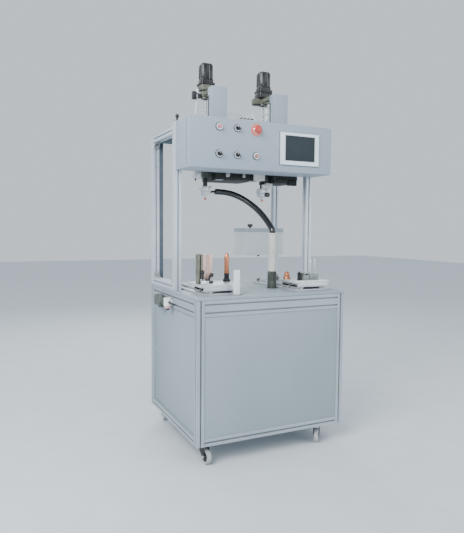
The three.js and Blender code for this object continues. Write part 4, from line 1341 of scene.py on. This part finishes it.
def make_mount_sensors():
    """Black sensors beside the mounts, and white connectors with their leads by both feed screws."""
    bm = bmesh.new()
    add_box(bm, at(545, 474, 1900), at(588, 506, 1906.5), 0.0015)
    add_box(bm, at(160, 482, 1925), at(204.5, 498, 1928), 0.0006)
    add_box(bm, at(160, 478, 1894), at(181, 502, 1937), 0.002, 3)
    add_box(bm, at(196, 476, 1903), at(214, 504, 1925), 0.0015)
    finish_piece("axis_sensors", bm, "machine", black_plastic)
    bm = bmesh.new()
    add_box(bm, at(184, 482, 1928), at(195, 498, 1952), 0.0015)
    add_box(bm, at(626, 470, 1852), at(650, 500, 1896), 0.003, 3)
    add_box(bm, at(578, 512, 1725), at(650, 545, 1778), 0.003, 3)
    lead = [
        at(638, 484, 1853), at(638, 484, 1840), at(636, 492, 1818), at(630, 514, 1800), at(628, 528, 1777)
    ]
    add_tube(bm, smooth_line(lead, 0.006), 0.008, 14)
    add_tube(
        bm,
        smooth_line(
            [
                at(190, 490, 1929), at(190, 490, 1912), at(187, 493, 1880), at(184, 500, 1800),
                at(184, 505, 1716)
            ],
            0.008
        ),
        0.0035, 10
    )
    finish_piece("axis_connectors", bm, "machine", white_enamel)


for side, (x, y) in AXES.items():
    make_column(side)
    make_mount(side, x, y)
    make_motor(side, x, y)
make_lower_gearhead()
make_mount_sensors()


# ---- Ram guides and welding heads ----
# A square cast guide with shallow grooves is flanged to the deck. The round ram slides in it, dark from its
# oxide finish, and carries an aluminium clamp with the copper electrode. The left clamp holds the lug of
# the cable.
machined = make_finish(
    "machined_aluminium", (0.58, 0.61, 0.65), (0.72, 0.75, 0.78), (0.28, 0.40), 0.55, cloud=18, grain=340,
    stretch=(1, 1, 5), relief=0.06
)
guide_cast = make_finish(
    "guide_cast", (0.060, 0.072, 0.062), (0.13, 0.145, 0.13), (0.36, 0.5), 0.4, cloud=22, grain=320,
    relief=0.15
)
dark_oxide = make_finish(
    "dark_oxide", (0.018, 0.019, 0.021), (0.040, 0.041, 0.043), (0.22, 0.36), 0.5, cloud=20, grain=300,
    relief=0.1
)
bare_copper = make_finish(
    "bare_copper", (0.56, 0.20, 0.10), (0.72, 0.30, 0.17), (0.22, 0.40), 1.0, cloud=34, grain=320,
    relief=0.08
)


def make_guide(side, x, y):
    bm = bmesh.new()
    middle = Matrix.Translation(at(x, y, 0))
    groove = [
        (-0.029, 0.003), (-0.029, -0.029), (-0.019, -0.029), (-0.019, -0.0265), (-0.013, -0.0265),
        (-0.013, -0.029)
    ]
    groove += [
        (0.013, -0.029), (0.013, -0.0265), (0.019, -0.0265), (0.019, -0.029), (0.029, -0.029),
        (0.029, 0.029), (-0.029, 0.029)
    ]
    groove += [(-0.029, 0.017), (-0.0265, 0.017), (-0.0265, 0.011), (-0.029, 0.011)]
    add_plate(bm, groove, 1.4578, 1.7235, middle, 0.0006)
    add_plate(bm, rounded(0.042, 0.042, 0.006), 1.7146, 1.7246, middle, 0.0010)
    outward_piece(
        "ram_guide_" + side + "_block", bm, "machine", guide_cast, ["ram_guide_" + side], 25
    )
    seal = [
        (0.0136, 1.4530), (0.0200, 1.4530), (0.0215, 1.4545), (0.0215, 1.4580), (0.0136, 1.4580),
        (0.0136, 1.4530)
    ]
    turned_piece(
        "ram_guide_" + side + "_wiper", seal, at(x, y, 0), (0, 0, 1), 32, "machine", black_plastic,
    )
    places = corner_places(x, y, 1457.8, 23, (0, 0, -1)) + corner_places(x, y, 1724.6, 35, (0, 0, 1))
    make_screws("ram_guide_" + side + "_screws", "machine", places, 0.9)


def make_head(side, x, y):
    body = "weld_head_" + side
    place = at(x, y, 0)
    ram = [
        (0.0082, 1.768), (0.0082, 1.430), (0, 1.430), (0, 1.405), (0.0125, 1.405), (0.0130, 1.4055),
        (0.0130, 1.7672)
    ]
    turned_piece(
        body + "_ram", ram + [(0.0124, 1.768), (0.0082, 1.768)], place, (0, 0, 1), 32, body, dark_oxide,
        [body]
    )

    bm = bmesh.new()
    middle = Matrix.Translation(place)
    add_plate(bm, rounded(0.030, 0.023, 0.003), 1.384, 1.412, middle, 0.0012)
    add_plate(bm, rounded(0.026, 0.0205, 0.003), 1.366, 1.384, middle, 0.0012)
    add_plate(bm, rounded(0.020, 0.018, 0.003), 1.360, 1.3662, middle, 0.0008)
    add_box(bm, at(x - 30, y - 27, 1388), at(x - 12, y - 20, 1408), 0.001)
    add_box(bm, at(x + 12, y - 27, 1388), at(x + 30, y - 20, 1408), 0.001)
    outward_piece(body + "_clamp", bm, body, machined, sharp=25)

    shank = [
        (0.0040, 1.3475), (0.0072, 1.3475), (0.0076, 1.3480), (0.0076, 1.3520), (0.0066, 1.3530),
        (0.0066, 1.3550)
    ]
    turned_piece(
        body + "_shank", shank + [(0.0080, 1.3560), (0.0080, 1.3608), (0.0040, 1.3608), (0.0040, 1.3475)],
        place, (0, 0, 1), 28, body, machined
    )
    cap = [
        (0, 1.334), (0.0028, 1.334), (0.0036, 1.3348), (0.0072, 1.3415), (0.0074, 1.3425), (0.0074, 1.3474),
        (0, 1.3474)
    ]
    turned_piece(body + "_electrode", cap, place, (0, 0, 1), 28, body, bare_copper)

    places = [(at(x + dx, y - 27, 1398), (0, -1, 0)) for dx in (-21, 21)]
    places += [(at(x + dx, y - 20.5, 1375), (0, -1, 0)) for dx in (-12, 12)]
    places += [(at(x + dx, y + dy, 1412), (0, 0, 1)) for dx in (-23, 23) for dy in (-15, 15)]
    make_screws(body + "_screws", body, places, 0.9)


def make_head_details():
    """The lug with its nut on the left head, and a white cover with a round gauge on the right one."""
    lug = [
        (0, 0), (0.0118, 0), (0.0118, 0.007), (0.0070, 0.0074), (0.0058, 0.009), (0.0058, 0.022),
        (0.0069, 0.0225)
    ]
    turned_piece(
        "weld_head_left_lug", lug + [(0.0069, 0.0310), (0, 0.0310)], at(271, 490, 1384), (1, 0, 0), 24,
        "weld_head_left", dark_oxide
    )
    bm = bmesh.new()
    add_box(bm, at(222, 462, 1366), at(260, 468, 1384), 0.0015)
    add_box(bm, at(208, 476, 1364), at(212, 500, 1388), 0.0012)
    finish_piece("weld_head_left_cover", bm, "weld_head_left", white_enamel)
    bm = bmesh.new()
    add_box(bm, at(626, 462, 1412.2), at(668, 494, 1446), 0.003, 3)
    add_box(bm, at(598, 461, 1412.2), at(626, 474, 1436), 0.002, 3)
    finish_piece("weld_head_right_cover", bm, "weld_head_right", white_enamel)
    turned_piece(
        "weld_head_right_ring",
        [(0.009, 0), (0.0135, 0), (0.0135, 0.006), (0.0115, 0.0072), (0.009, 0.006), (0.009, 0)],
        at(634, 462.5, 1376), (0, -1, 0), 28, "weld_head_right", dark_oxide
    )
    bm = bmesh.new()
    add_box(bm, at(622, 466, 1363), at(646, 471, 1389), 0.001)
    add_lathe(bm, [(0, 0), (0.0092, 0), (0.0092, 0.004), (0, 0.004)], at(634, 463, 1376), (0, -1, 0), 24)
    outward_piece("weld_head_right_gauge", bm, "weld_head_right", guide_cast)


for side, (x, y) in AXES.items():
    make_guide(side, x, y)
    make_head(side, x, y)
make_head_details()


# ---- Units under the deck ----
# The welding transformer hangs from the deck in a ribbed black housing, with the servo drive beside it in a
# black sheet case with cooling fins. A cream terminal box stands between them, and a block with a
# lubricator on the left.
RIB_COUNT = 14
RIB_PITCH = 0.0162
FIN_PITCH = 9
drive_black = make_finish(
    "case_black", (0.012, 0.016, 0.014), (0.026, 0.032, 0.028), (0.62, 0.74), cloud=12, grain=340,
    relief=0.2
)
terminal_cream = make_finish(
    "terminal_cream", (0.58, 0.59, 0.57), (0.68, 0.69, 0.66), (0.34, 0.46), grain=300, relief=0.08
)


def make_transformer():
    low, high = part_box("welding_transformer")
    bm = bmesh.new()
    add_box(bm, low, high, 0.004, 3)
    for k in range(RIB_COUNT):
        x = low[0] + 0.012 + k * RIB_PITCH
        add_box(bm, (x, low[1] - 0.006, low[2] + 0.012), (x + 0.005, low[1] + 0.002, high[2] - 0.06), 0.001)
        add_box(
            bm, (x, high[1] - 0.002, low[2] + 0.012), (x + 0.005, high[1] + 0.006, high[2] - 0.06), 0.001
        )
    finish_piece("transformer_housing", bm, "machine", drive_black, ["welding_transformer"])
    bm = bmesh.new()
    add_box(bm, at(276, 408, 1446), at(322, 440, 1448.2), 0.0006)
    add_box(bm, at(484, 408, 1446), at(530, 440, 1448.2), 0.0006)
    finish_piece("transformer_feet", bm, "machine", cast_zinc)
    bm = bmesh.new()
    nozzle = [
        (0, 0), (0.009, 0), (0.0135, 0.008), (0.0135, 0.020), (0.006, 0.024), (0.006, 0.032), (0, 0.032)
    ]
    add_lathe(bm, nozzle, at(336, 392, 1462), (0.1, -0.1, 1), 24)
    add_box(bm, at(430, 386, 1462), at(446, 397, 1496), 0.0015)
    outward_piece("transformer_fittings", bm, "machine", cast_zinc)
    places = [(at(x, 424, 1446), (0, 0, -1)) for x in (290, 310, 496, 516)]
    make_screws("transformer_screws", "machine", places, 1.1)


def make_drive_box():
    low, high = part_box("servo_drive_box")
    bm = bmesh.new()
    add_box(bm, low, high, 0.002, 3)
    fins = int((high[1] - low[1] - 0.02) * 1000 / FIN_PITCH)
    for k in range(fins):
        y = low[1] + 0.012 + k * FIN_PITCH / 1000
        add_box(
            bm, (high[0] - 0.001, y, low[2] + 0.02), (high[0] + 0.012, y + 0.0025, high[2] - 0.05), 0.0006
        )
    add_box(bm, at(740, 392, 1431), at(795, 420, 1460), 0.002, 3)
    finish_piece("servo_drive_case", bm, "machine", drive_black, ["servo_drive_box"])
    bm = bmesh.new()
    for k in range(5):
        add_box(bm, at(662 + 14 * k, 396, 1452), at(673 + 14 * k, 405, 1470), 0.0012)
    finish_piece("servo_drive_terminals", bm, "machine", drive_black)


def make_terminal_block():
    bm = bmesh.new()
    add_box(bm, at(534, 440, 1451), at(578, 540, 1709.5), 0.002, 3)
    add_box(bm, at(500, 380, 1449), at(570, 394, 1709.5), 0.002, 3)
    add_box(bm, at(536, 434, 1452), at(560, 441, 1476), 0.0015)
    finish_piece("terminal_box", bm, "machine", terminal_cream)
    bm = bmesh.new()
    add_box(bm, at(170, 470, 1453), at(211.5, 512, 1512), 0.0015)
    add_box(bm, at(178, 478, 1512), at(211.5, 504, 1709.5), 0.0015)
    finish_piece("guide_side_block", bm, "machine", machined)
    turned_piece(
        "guide_lubricator",
        [(0, 0), (0.0045, 0), (0.0045, 0.008), (0.0028, 0.009), (0.0028, 0.015), (0, 0.015)],
        at(176, 476, 1453), (0, 0, -1), 18, "machine", dark_oxide
    )


make_transformer()
make_drive_box()
make_terminal_block()


# ---- Standpipe of the cable ----
# The cable leaves the head as a hose and goes down into a painted steel pipe that stands on the table. The
# foot of the pipe is wrapped in a dark ribbed boot, and a light collar holds the hose where it enters.
PIPE_PLACE = (550, 250, 0)
BOOT_RIB = 0.0065
BOOT_LOW = 0.8455
BOOT_TOP = 0.936
BOOT_CORDS = 10

pipe_paint = make_finish(
    "pipe_paint", (0.50, 0.51, 0.46), (0.60, 0.61, 0.57), (0.32, 0.44), 0.1, cloud=10, grain=300,
    relief=0.10
)
boot_rubber = make_finish(
    "boot_rubber", (0.035, 0.045, 0.038), (0.085, 0.10, 0.085), (0.36, 0.52), cloud=30, grain=260,
    relief=0.3
)


def make_standpipe():
    place = at(*PIPE_PLACE)
    pipe = [(0.0175, 1.150), (0.0175, 1.118), (0, 1.118), (0, 0.8460), (0.0215, 0.8460), (0.0220, 0.8465)]
    pipe += [
        (0.0220, 1.1420), (0.0246, 1.1422), (0.0250, 1.1428), (0.0250, 1.1492), (0.0246, 1.1499),
        (0.0205, 1.1500)
    ]
    turned_piece(
        "standpipe_tube", pipe + [(0.0175, 1.1495), (0.0175, 1.1490)], place, (0, 0, 1), 40, "machine",
        pipe_paint, ["cable_standpipe"]
    )
    bm = bmesh.new()
    boot = [(0.0221, 0.8403), (0.0290, 0.8403), (0.0290, 0.8450)]
    count = int((BOOT_TOP - BOOT_LOW) / BOOT_RIB)
    for k in range(count):
        level = BOOT_LOW + k * BOOT_RIB
        boot += [
            (0.0246, level), (0.0250, level + 0.0012), (0.0250, level + 0.0034), (0.0234, level + 0.0046)
        ]
    add_lathe(bm, boot + [(0.0234, BOOT_TOP), (0.0221, 0.9365), (0.0221, 0.8403)], place, (0, 0, 1), 40)
    for k in range(BOOT_CORDS):
        angle = 2 * math.pi * k / BOOT_CORDS
        spot = place + Vector((math.cos(angle), math.sin(angle), 0)) * 0.0232
        add_tube(bm, [spot + Vector((0, 0, 0.850)), spot + Vector((0, 0, 0.930))], 0.0024, 8)
    outward_piece("standpipe_boot", bm, "machine", boot_rubber)


make_standpipe()


# ---- Weld power unit ----
# A light sheet-steel case bolted to the rear right post by a flange, with a darker lid, a black knob on
# top, a row of ventilation slots in its back and a cable gland underneath.
SLOT_COUNT = 16
SLOT_PITCH = 0.009

case_paint = make_finish(
    "case_paint", (0.56, 0.61, 0.63), (0.61, 0.655, 0.675), (0.38, 0.48), cloud=2.0, grain=460, relief=0.14
)
lid_paint = make_finish(
    "lid_paint", (0.31, 0.37, 0.42), (0.36, 0.42, 0.47), (0.38, 0.48), cloud=3.0, grain=460, relief=0.14
)


def make_power_unit():
    bm = bmesh.new()
    add_box(bm, at(532, 560, 1010), at(806, 709, 1153), 0.002, 3)
    add_box(bm, at(803, 680, 1020), at(819.7, 746, 1166), 0.0015)
    finish_piece("power_unit_case", bm, "machine", case_paint, ["weld_power_unit"])
    bm = bmesh.new()
    add_box(bm, at(530.6, 558.6, 1152), at(806.6, 710, 1176), 0.0015, 3)
    finish_piece("power_unit_lid", bm, "machine", lid_paint)
    bm = bmesh.new()
    knob = [
        (0.0060, 1.1760), (0.0060, 1.1835), (0.0150, 1.1842), (0.0160, 1.1855), (0.0160, 1.1985),
        (0.0150, 1.2010)
    ]
    add_lathe(bm, knob + [(0.0080, 1.2020), (0, 1.2020)], at(600, 620, 0), (0, 0, 1), 28)
    for k in range(SLOT_COUNT):
        x = 580 + k * SLOT_PITCH * 1000
        add_box(bm, at(x, 708.4, 1040), at(x + 3, 709.8, 1110), 0.0004)
    gland = [(0, 0), (0.011, 0), (0.011, 0.006), (0.008, 0.008), (0.006, 0.016), (0, 0.016)]
    add_lathe(bm, gland, at(700, 692, 1010), (0, 0, -1), 20)
    outward_piece("power_unit_knob", bm, "machine", black_plastic)
    places = [(at(x, 558.6, 1164), (0, -1, 0)) for x in (550, 669, 788)]
    places += [(at(530.6, y, 1164), (-1, 0, 0)) for y in (580, 690)]
    places += [(at(811, 680, z), (0, -1, 0)) for z in (1036, 1150)]
    make_screws("power_unit_screws", "machine", places, 0.8)


make_power_unit()


# ---- Work stations ----
# Each station is a machined base plate screwed to the table with two ground rails and end stops. A pale
# guard strip stands in front of the left one, so that a hand cannot reach in beside the work.
BASE_LOW = 840.3
BASE_TOP = 850.3
STATIONS = {"left": (55, 267, (91, 231)), "right": (585, 797, (621, 761))}

station_steel = make_finish(
    "station_steel", (0.40, 0.43, 0.46), (0.50, 0.53, 0.56), (0.30, 0.46), 0.5, cloud=14, grain=320,
    stretch=(1, 6, 1), relief=0.08
)
pale_guard = make_finish(
    "guard_strip", (0.72, 0.75, 0.78), (0.80, 0.83, 0.86), (0.10, 0.20), grain=200, relief=0.02, coat=0.6
)


def make_station(side, left, right, rails):
    bm = bmesh.new()
    add_box(bm, at(left, 50, BASE_LOW), at(right, 545, BASE_TOP), 0.001)
    for x in rails:
        for edge in (x - 6, x + 3.2):
            add_box(bm, at(edge, 50.4, 850.2), at(edge + 2.8, 544.6, 860.3), 0.0006)
        add_box(bm, at(x - 5, 50.4, 850.2), at(x + 5, 544.6, 858.6), 0.0003)
    if side == "left":
        add_box(bm, at(203, 18, BASE_LOW), at(237, 51, BASE_TOP), 0.001)
    finish_piece(
        "station_base_" + side + "_plate", bm, "machine", station_steel,
        ["station_base_" + side]
    )
    bm = bmesh.new()
    for x in rails:
        add_box(bm, at(x - 9, 533, BASE_TOP), at(x + 9, 543, 867), 0.001)
    finish_piece("station_base_" + side + "_stops", bm, "machine", black_plastic)
    places = [(at(x, y, BASE_TOP), (0, 0, 1)) for x in (left + 10, right - 10) for y in (66, 300, 530)]
    make_screws("station_base_" + side + "_screws", "machine", places, 1.1)


def make_guard():
    bm = bmesh.new()
    add_plate(
        bm, rounded(0.017, 0.0025, 0.0015), 0.8503, 0.9683, Matrix.Translation(at(220, 24, 0)), 0.0004
    )
    outward_piece("guard_strip", bm, "machine", pale_guard)
    make_screws("guard_screws", "machine", [(at(x, 38, BASE_TOP), (0, 0, 1)) for x in (211, 229)], 1.0)


for side, (left, right, rails) in STATIONS.items():
    make_station(side, left, right, rails)
make_guard()


# ---- Shuttles with their jigs ----
# A shuttle is a thick aluminium plate on four rail carriages. The left jig is a tall nest faced with
# copper, with a toggle clamp in front of it. The right jig is a low block with two locating rods and a
# small air cylinder.
SHUTTLE_SIDES = {"left": (43, 265), "right": (587, 809)}
SHUTTLE_TOP = 895
JIG_LEFT_TOP = 1043
JIG_BLOCK_TOP = 929

jig_grey = make_finish(
    "jig_grey", (0.17, 0.205, 0.20), (0.27, 0.31, 0.30), (0.34, 0.48), 0.5, cloud=30, grain=320, relief=0.2
)
pale_copper = make_finish(
    "pale_copper", (0.60, 0.42, 0.36), (0.70, 0.50, 0.43), (0.30, 0.44), 0.5, cloud=28, grain=300,
    relief=0.06
)


def make_shuttle(side, left, right, rails):
    body = "shuttle_" + side
    bm = bmesh.new()
    add_box(bm, at(left, 66, 881), at(right, 238, SHUTTLE_TOP), 0.0015, 3)
    add_box(bm, at(left + 14, 58.5, 862), at(right - 14, 62, 881.5), 0.0008)
    add_box(bm, at(left + 14, 58.5, 879), at(right - 14, 68, 882), 0.0008)
    finish_piece(body + "_plate", bm, body, machined, [body])
    bm = bmesh.new()
    for x in rails:
        for y in (56, 150):
            for low, high in ((x - 17, x - 6.6), (x + 6.6, x + 17)):
                add_box(bm, at(low, y + 6, 850.9), at(high, y + 76, 871), 0.001)
            add_box(bm, at(x - 17, y + 6, 861), at(x + 17, y + 76, 881), 0.001)
            add_box(bm, at(x - 16, y + 3, 862), at(x + 16, y + 79, 879), 0.0008)
    finish_piece(body + "_carriages", bm, body, cast_zinc)
    places = [(at(x + dx, y, SHUTTLE_TOP), (0, 0, 1)) for x in rails for dx in (-11, 11) for y in (76, 228)]
    make_screws(body + "_screws", body, places, 1.0)


def make_left_jig():
    bm = bmesh.new()
    add_box(bm, at(43, 96, SHUTTLE_TOP), at(52, 134, 1045), 0.001)
    add_box(bm, at(58, 96, SHUTTLE_TOP), at(67, 134, 1045), 0.001)
    add_box(bm, at(51, 108, SHUTTLE_TOP), at(59, 122, JIG_LEFT_TOP), 0.0006)
    finish_piece("left_jig_bracket", bm, "shuttle_left", cast_olive)
    bm = bmesh.new()
    nest = [
        (0.066, 0.092), (0.082, 0.092), (0.082, 0.0955), (0.101, 0.0955), (0.101, 0.092), (0.117, 0.092)
    ]
    nest += [(0.117, 0.138), (0.066, 0.138)]
    add_plate(bm, nest, SHUTTLE_TOP / 1000, JIG_LEFT_TOP / 1000, Matrix.Translation(at(0, 0, 0)), 0.0008)
    outward_piece("left_jig_nest", bm, "shuttle_left", pale_copper)
    places = [(at(x, 92, z), (0, -1, 0)) for x in (74, 109) for z in (980, 1025)]
    places += [(at(91.5, 95.5, 1004), (0, -1, 0))]
    make_screws("left_jig_screws", "shuttle_left", places, 0.8)


def make_toggle_clamp():
    bm = bmesh.new()
    add_box(bm, at(46, 70, SHUTTLE_TOP), at(114, 90.5, 899), 0.0006)
    for x in (49, 62, 98):
        add_box(bm, at(x, 74, 898.5), at(x + 4, 88, 924), 0.001)
    add_box(bm, at(70, 72, 898.5), at(92, 88, 914), 0.002, 3)
    add_lathe(bm, [(0, 0), (0.0030, 0), (0.0030, 0.056), (0, 0.056)], at(48, 81, 918), (1, 0, 0), 16)
    outward_piece("toggle_clamp_frame", bm, "shuttle_left", bright_steel)
    bm = bmesh.new()
    for x, reach, lift in ((59.5, -4, 958), (96, 8, 944)):
        line = smooth_line(
            [at(x, 81, 914), at(x, 80, 928), at(x + reach * 0.4, 77, 940), at(x + reach, 74, lift)], 0.004
        )
        add_tube(bm, line, 0.0058, 12)
        grip = [(0, 0), (0.0082, 0.001), (0.0092, 0.004), (0.0092, 0.014), (0.0080, 0.018), (0, 0.019)]
        add_lathe(bm, grip, at(x + reach, 74, lift - 10), (reach / 80, -0.25, 1), 18)
    add_box(bm, at(72, 71, 914), at(90, 88, 922), 0.002, 3)
    add_box(bm, at(92, 69, 899), at(113, 73.5, 913), 0.0015)
    outward_piece("toggle_clamp_handles", bm, "shuttle_left", black_plastic)
    bm = bmesh.new()
    add_box(bm, at(50, 67, 899), at(76, 73.5, 915), 0.002, 3)
    finish_piece("toggle_clamp_cover", bm, "shuttle_left", white_enamel)
    places = [(at(x, 76, 899), (0, 0, 1)) for x in (55.5, 107)]
    make_screws("toggle_clamp_screws", "shuttle_left", places, 0.8)


def make_right_jig():
    bm = bmesh.new()
    add_box(bm, at(701, 96, SHUTTLE_TOP), at(757, 150, JIG_BLOCK_TOP), 0.0015, 3)
    add_box(bm, at(662, 100, SHUTTLE_TOP), at(700.5, 146, 921), 0.0015)
    add_box(bm, at(670, 108, 921), at(684, 138, 934), 0.0015)
    finish_piece("right_jig_block", bm, "shuttle_right", jig_grey)
    bm = bmesh.new()
    rod = [(0, 0), (0.0040, 0), (0.0040, 0.076), (0.0034, 0.0778), (0, 0.078)]
    for x in (714, 744):
        add_lathe(bm, rod, at(x, 114, JIG_BLOCK_TOP), (0, 0, 1), 20)
        add_lathe(
            bm, [(0.004, 0), (0.0075, 0), (0.0075, 0.004), (0.004, 0.004), (0.004, 0)],
            at(x, 114, JIG_BLOCK_TOP), (0, 0, 1), 6
        )
    outward_piece("right_jig_rods", bm, "shuttle_right", bright_steel)
    bm = bmesh.new()
    tube = [
        (0, 0), (0.0110, 0), (0.0120, 0.001), (0.0120, 0.010), (0.0105, 0.011), (0.0105, 0.030),
        (0.0120, 0.031)
    ]
    add_lathe(
        bm, tube + [(0.0120, 0.040), (0.0050, 0.041), (0.0050, 0.047), (0, 0.047)],
        at(642, 110, SHUTTLE_TOP), (0, 0, 1), 28
    )
    add_lathe(
        bm, [(0, 0), (0.0055, 0), (0.0055, 0.008), (0.0035, 0.009), (0, 0.009)], at(692, 118, 921),
        (0, 0, 1), 18
    )
    outward_piece("right_jig_cylinder", bm, "shuttle_right", dark_oxide)
    places = [(at(x, 140, JIG_BLOCK_TOP), (0, 0, 1)) for x in (709, 749)]
    make_screws("right_jig_screws", "shuttle_right", places, 1.0)


for side, (left, right) in SHUTTLE_SIDES.items():
    make_shuttle(side, left, right, STATIONS[side][2])
make_left_jig()
make_toggle_clamp()
make_right_jig()


# ---- Lower electrodes ----
# Turned copper posts on the shuttle plates, which come under the upper electrodes when the shuttles go
# back. The tall left one sits in a dark steel holder with two clamp rings. The right one is short with a
# wide copper foot.
ELECTRODE_ROW = 190
ELECTRODE_FOOT = 895.3


def make_lower_electrodes():
    place = at(AXES["left"][0], ELECTRODE_ROW, ELECTRODE_FOOT)
    post = [
        (0, 0.0120), (0.0125, 0.0120), (0.0128, 0.0125), (0.0128, 0.1310), (0.0122, 0.1335),
        (0.0090, 0.1420)
    ]
    turned_piece(
        "lower_electrode_left_post", post + [(0.0060, 0.1480), (0.0040, 0.1505), (0, 0.1510)], place,
        (0, 0, 1), 32, "shuttle_left", bare_copper, ["lower_electrode_left"]
    )
    foot = [
        (0, 0), (0.0196, 0), (0.0200, 0.0006), (0.0200, 0.0105), (0.0190, 0.0120), (0.0138, 0.0120),
        (0.0138, 0.0220)
    ]
    foot += [
        (0.0129, 0.0224), (0.0129, 0.0340), (0.0140, 0.0344), (0.0140, 0.0420), (0.0129, 0.0424),
        (0.0120, 0.0424)
    ]
    turned_piece(
        "lower_electrode_left_holder", foot + [(0.0120, 0.0121), (0, 0.0121)], place, (0, 0, 1), 32,
        "shuttle_left", dark_oxide
    )
    low = [
        (0, 0), (0.0196, 0), (0.0200, 0.0006), (0.0200, 0.0105), (0.0192, 0.0120), (0.0140, 0.0120),
        (0.0140, 0.0310)
    ]
    turned_piece(
        "lower_electrode_right_post",
        low + [(0.0132, 0.0330), (0.0096, 0.0390), (0.0050, 0.0418), (0, 0.0420)],
        at(AXES["right"][0], ELECTRODE_ROW, ELECTRODE_FOOT), (0, 0, 1), 32, "shuttle_right", bare_copper,
        ["lower_electrode_right"]
    )


make_lower_electrodes()


# ---- Air service unit ----
# A die-cast filter block is bolted to the left side of the cabinet, with a pipe to a white regulator that
# has a rose-coloured bowl, a drain screw and a small elbow. It feeds the valves on the deck.
AIR = {"block": (460, 570), "bowl": 368}

air_zinc = make_finish(
    "air_zinc", (0.085, 0.105, 0.092), (0.17, 0.19, 0.17), (0.40, 0.56), 0.5, cloud=40, grain=320,
    relief=0.3
)
rose_plastic = make_finish(
    "rose_plastic", (0.62, 0.38, 0.38), (0.70, 0.46, 0.45), (0.20, 0.32), grain=300, relief=0.03
)


def make_air_unit():
    front, back = AIR["block"]
    bowl = AIR["bowl"]
    bm = bmesh.new()
    add_box(bm, at(-40, front + 2, 744), at(-0.5, front + 52, 792), 0.003, 3)
    add_box(bm, at(-38, front + 56, 740), at(-0.5, back - 2, 798), 0.003, 3)
    add_box(bm, at(-30, front, 752), at(-0.5, back, 784), 0.002)
    add_lathe(
        bm, [(0, 0), (0.0165, 0), (0.0180, 0.002), (0.0180, 0.012), (0, 0.012)], at(-22, front + 27, 744),
        (0, 0, -1), 28
    )
    add_lathe(
        bm, [(0, 0), (0.0150, 0), (0.0150, 0.006), (0.0120, 0.008), (0, 0.008)], at(-22, front + 27, 792),
        (0, 0, 1), 28
    )
    add_tube(bm, [at(-22, bowl + 8, 778), at(-22, front + 4, 778)], 0.007, 18)
    outward_piece("air_filter_block", bm, "machine", air_zinc, ["air_service_unit"])
    bm = bmesh.new()
    case = [
        (0, 0.7990), (0.0190, 0.7990), (0.0218, 0.7970), (0.0220, 0.7950), (0.0220, 0.7580),
        (0.0210, 0.7580), (0, 0.7580)
    ]
    add_lathe(bm, case, at(-24, bowl, 0), (0, 0, 1), 36)
    add_box(bm, at(-30, bowl - 16, 760), at(-0.4, bowl + 16, 790), 0.002)
    outward_piece("air_regulator", bm, "machine", white_enamel)
    cup = [
        (0, 0.7578), (0.0212, 0.7578), (0.0216, 0.7560), (0.0205, 0.7480), (0.0165, 0.7425),
        (0.0080, 0.7420), (0, 0.7420)
    ]
    turned_piece("air_bowl", cup, at(-24, bowl, 0), (0, 0, 1), 36, "machine", rose_plastic)
    bm = bmesh.new()
    add_lathe(
        bm, [(0, 0), (0.0080, 0), (0.0080, 0.008), (0.0050, 0.010), (0, 0.010)], at(-24, bowl, 742),
        (0, 0, -1), 16
    )
    add_tube(
        bm,
        smooth_line(
            [
                at(-24, bowl - 20, 776), at(-24, bowl - 34, 776), at(-16, bowl - 42, 772),
                at(-6, bowl - 44, 768)
            ],
            0.003
        ),
        0.005, 14
    )
    add_lathe(
        bm, [(0, 0), (0.0065, 0), (0.0065, 0.008), (0, 0.008)], at(-24, bowl - 20, 776), (0, -1, 0), 6
    )
    outward_piece("air_drain", bm, "machine", dark_oxide)


make_air_unit()


# ---- Wiring duct ----
# A dark plastic duct with a snap-on lid runs up the inner side of the rear left post. It carries the wires
# from the cabinet to the control box.
duct_plastic = make_finish(
    "duct_plastic", (0.075, 0.100, 0.130), (0.105, 0.130, 0.165), (0.40, 0.52), cloud=6, grain=400,
    relief=0.08
)


def make_duct():
    low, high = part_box("gantry_post_rear_left")
    bm = bmesh.new()
    add_box(
        bm, (high[0], low[1] + 0.004, low[2] + 0.004), (high[0] + 0.021, high[1] - 0.004, high[2] - 0.004),
        0.0008
    )
    add_box(
        bm, (high[0] + 0.0195, low[1] + 0.002, low[2] + 0.004),
        (high[0] + 0.0235, high[1] - 0.002, high[2] - 0.004), 0.0012
    )
    finish_piece("wiring_duct", bm, "machine", duct_plastic)


make_duct()
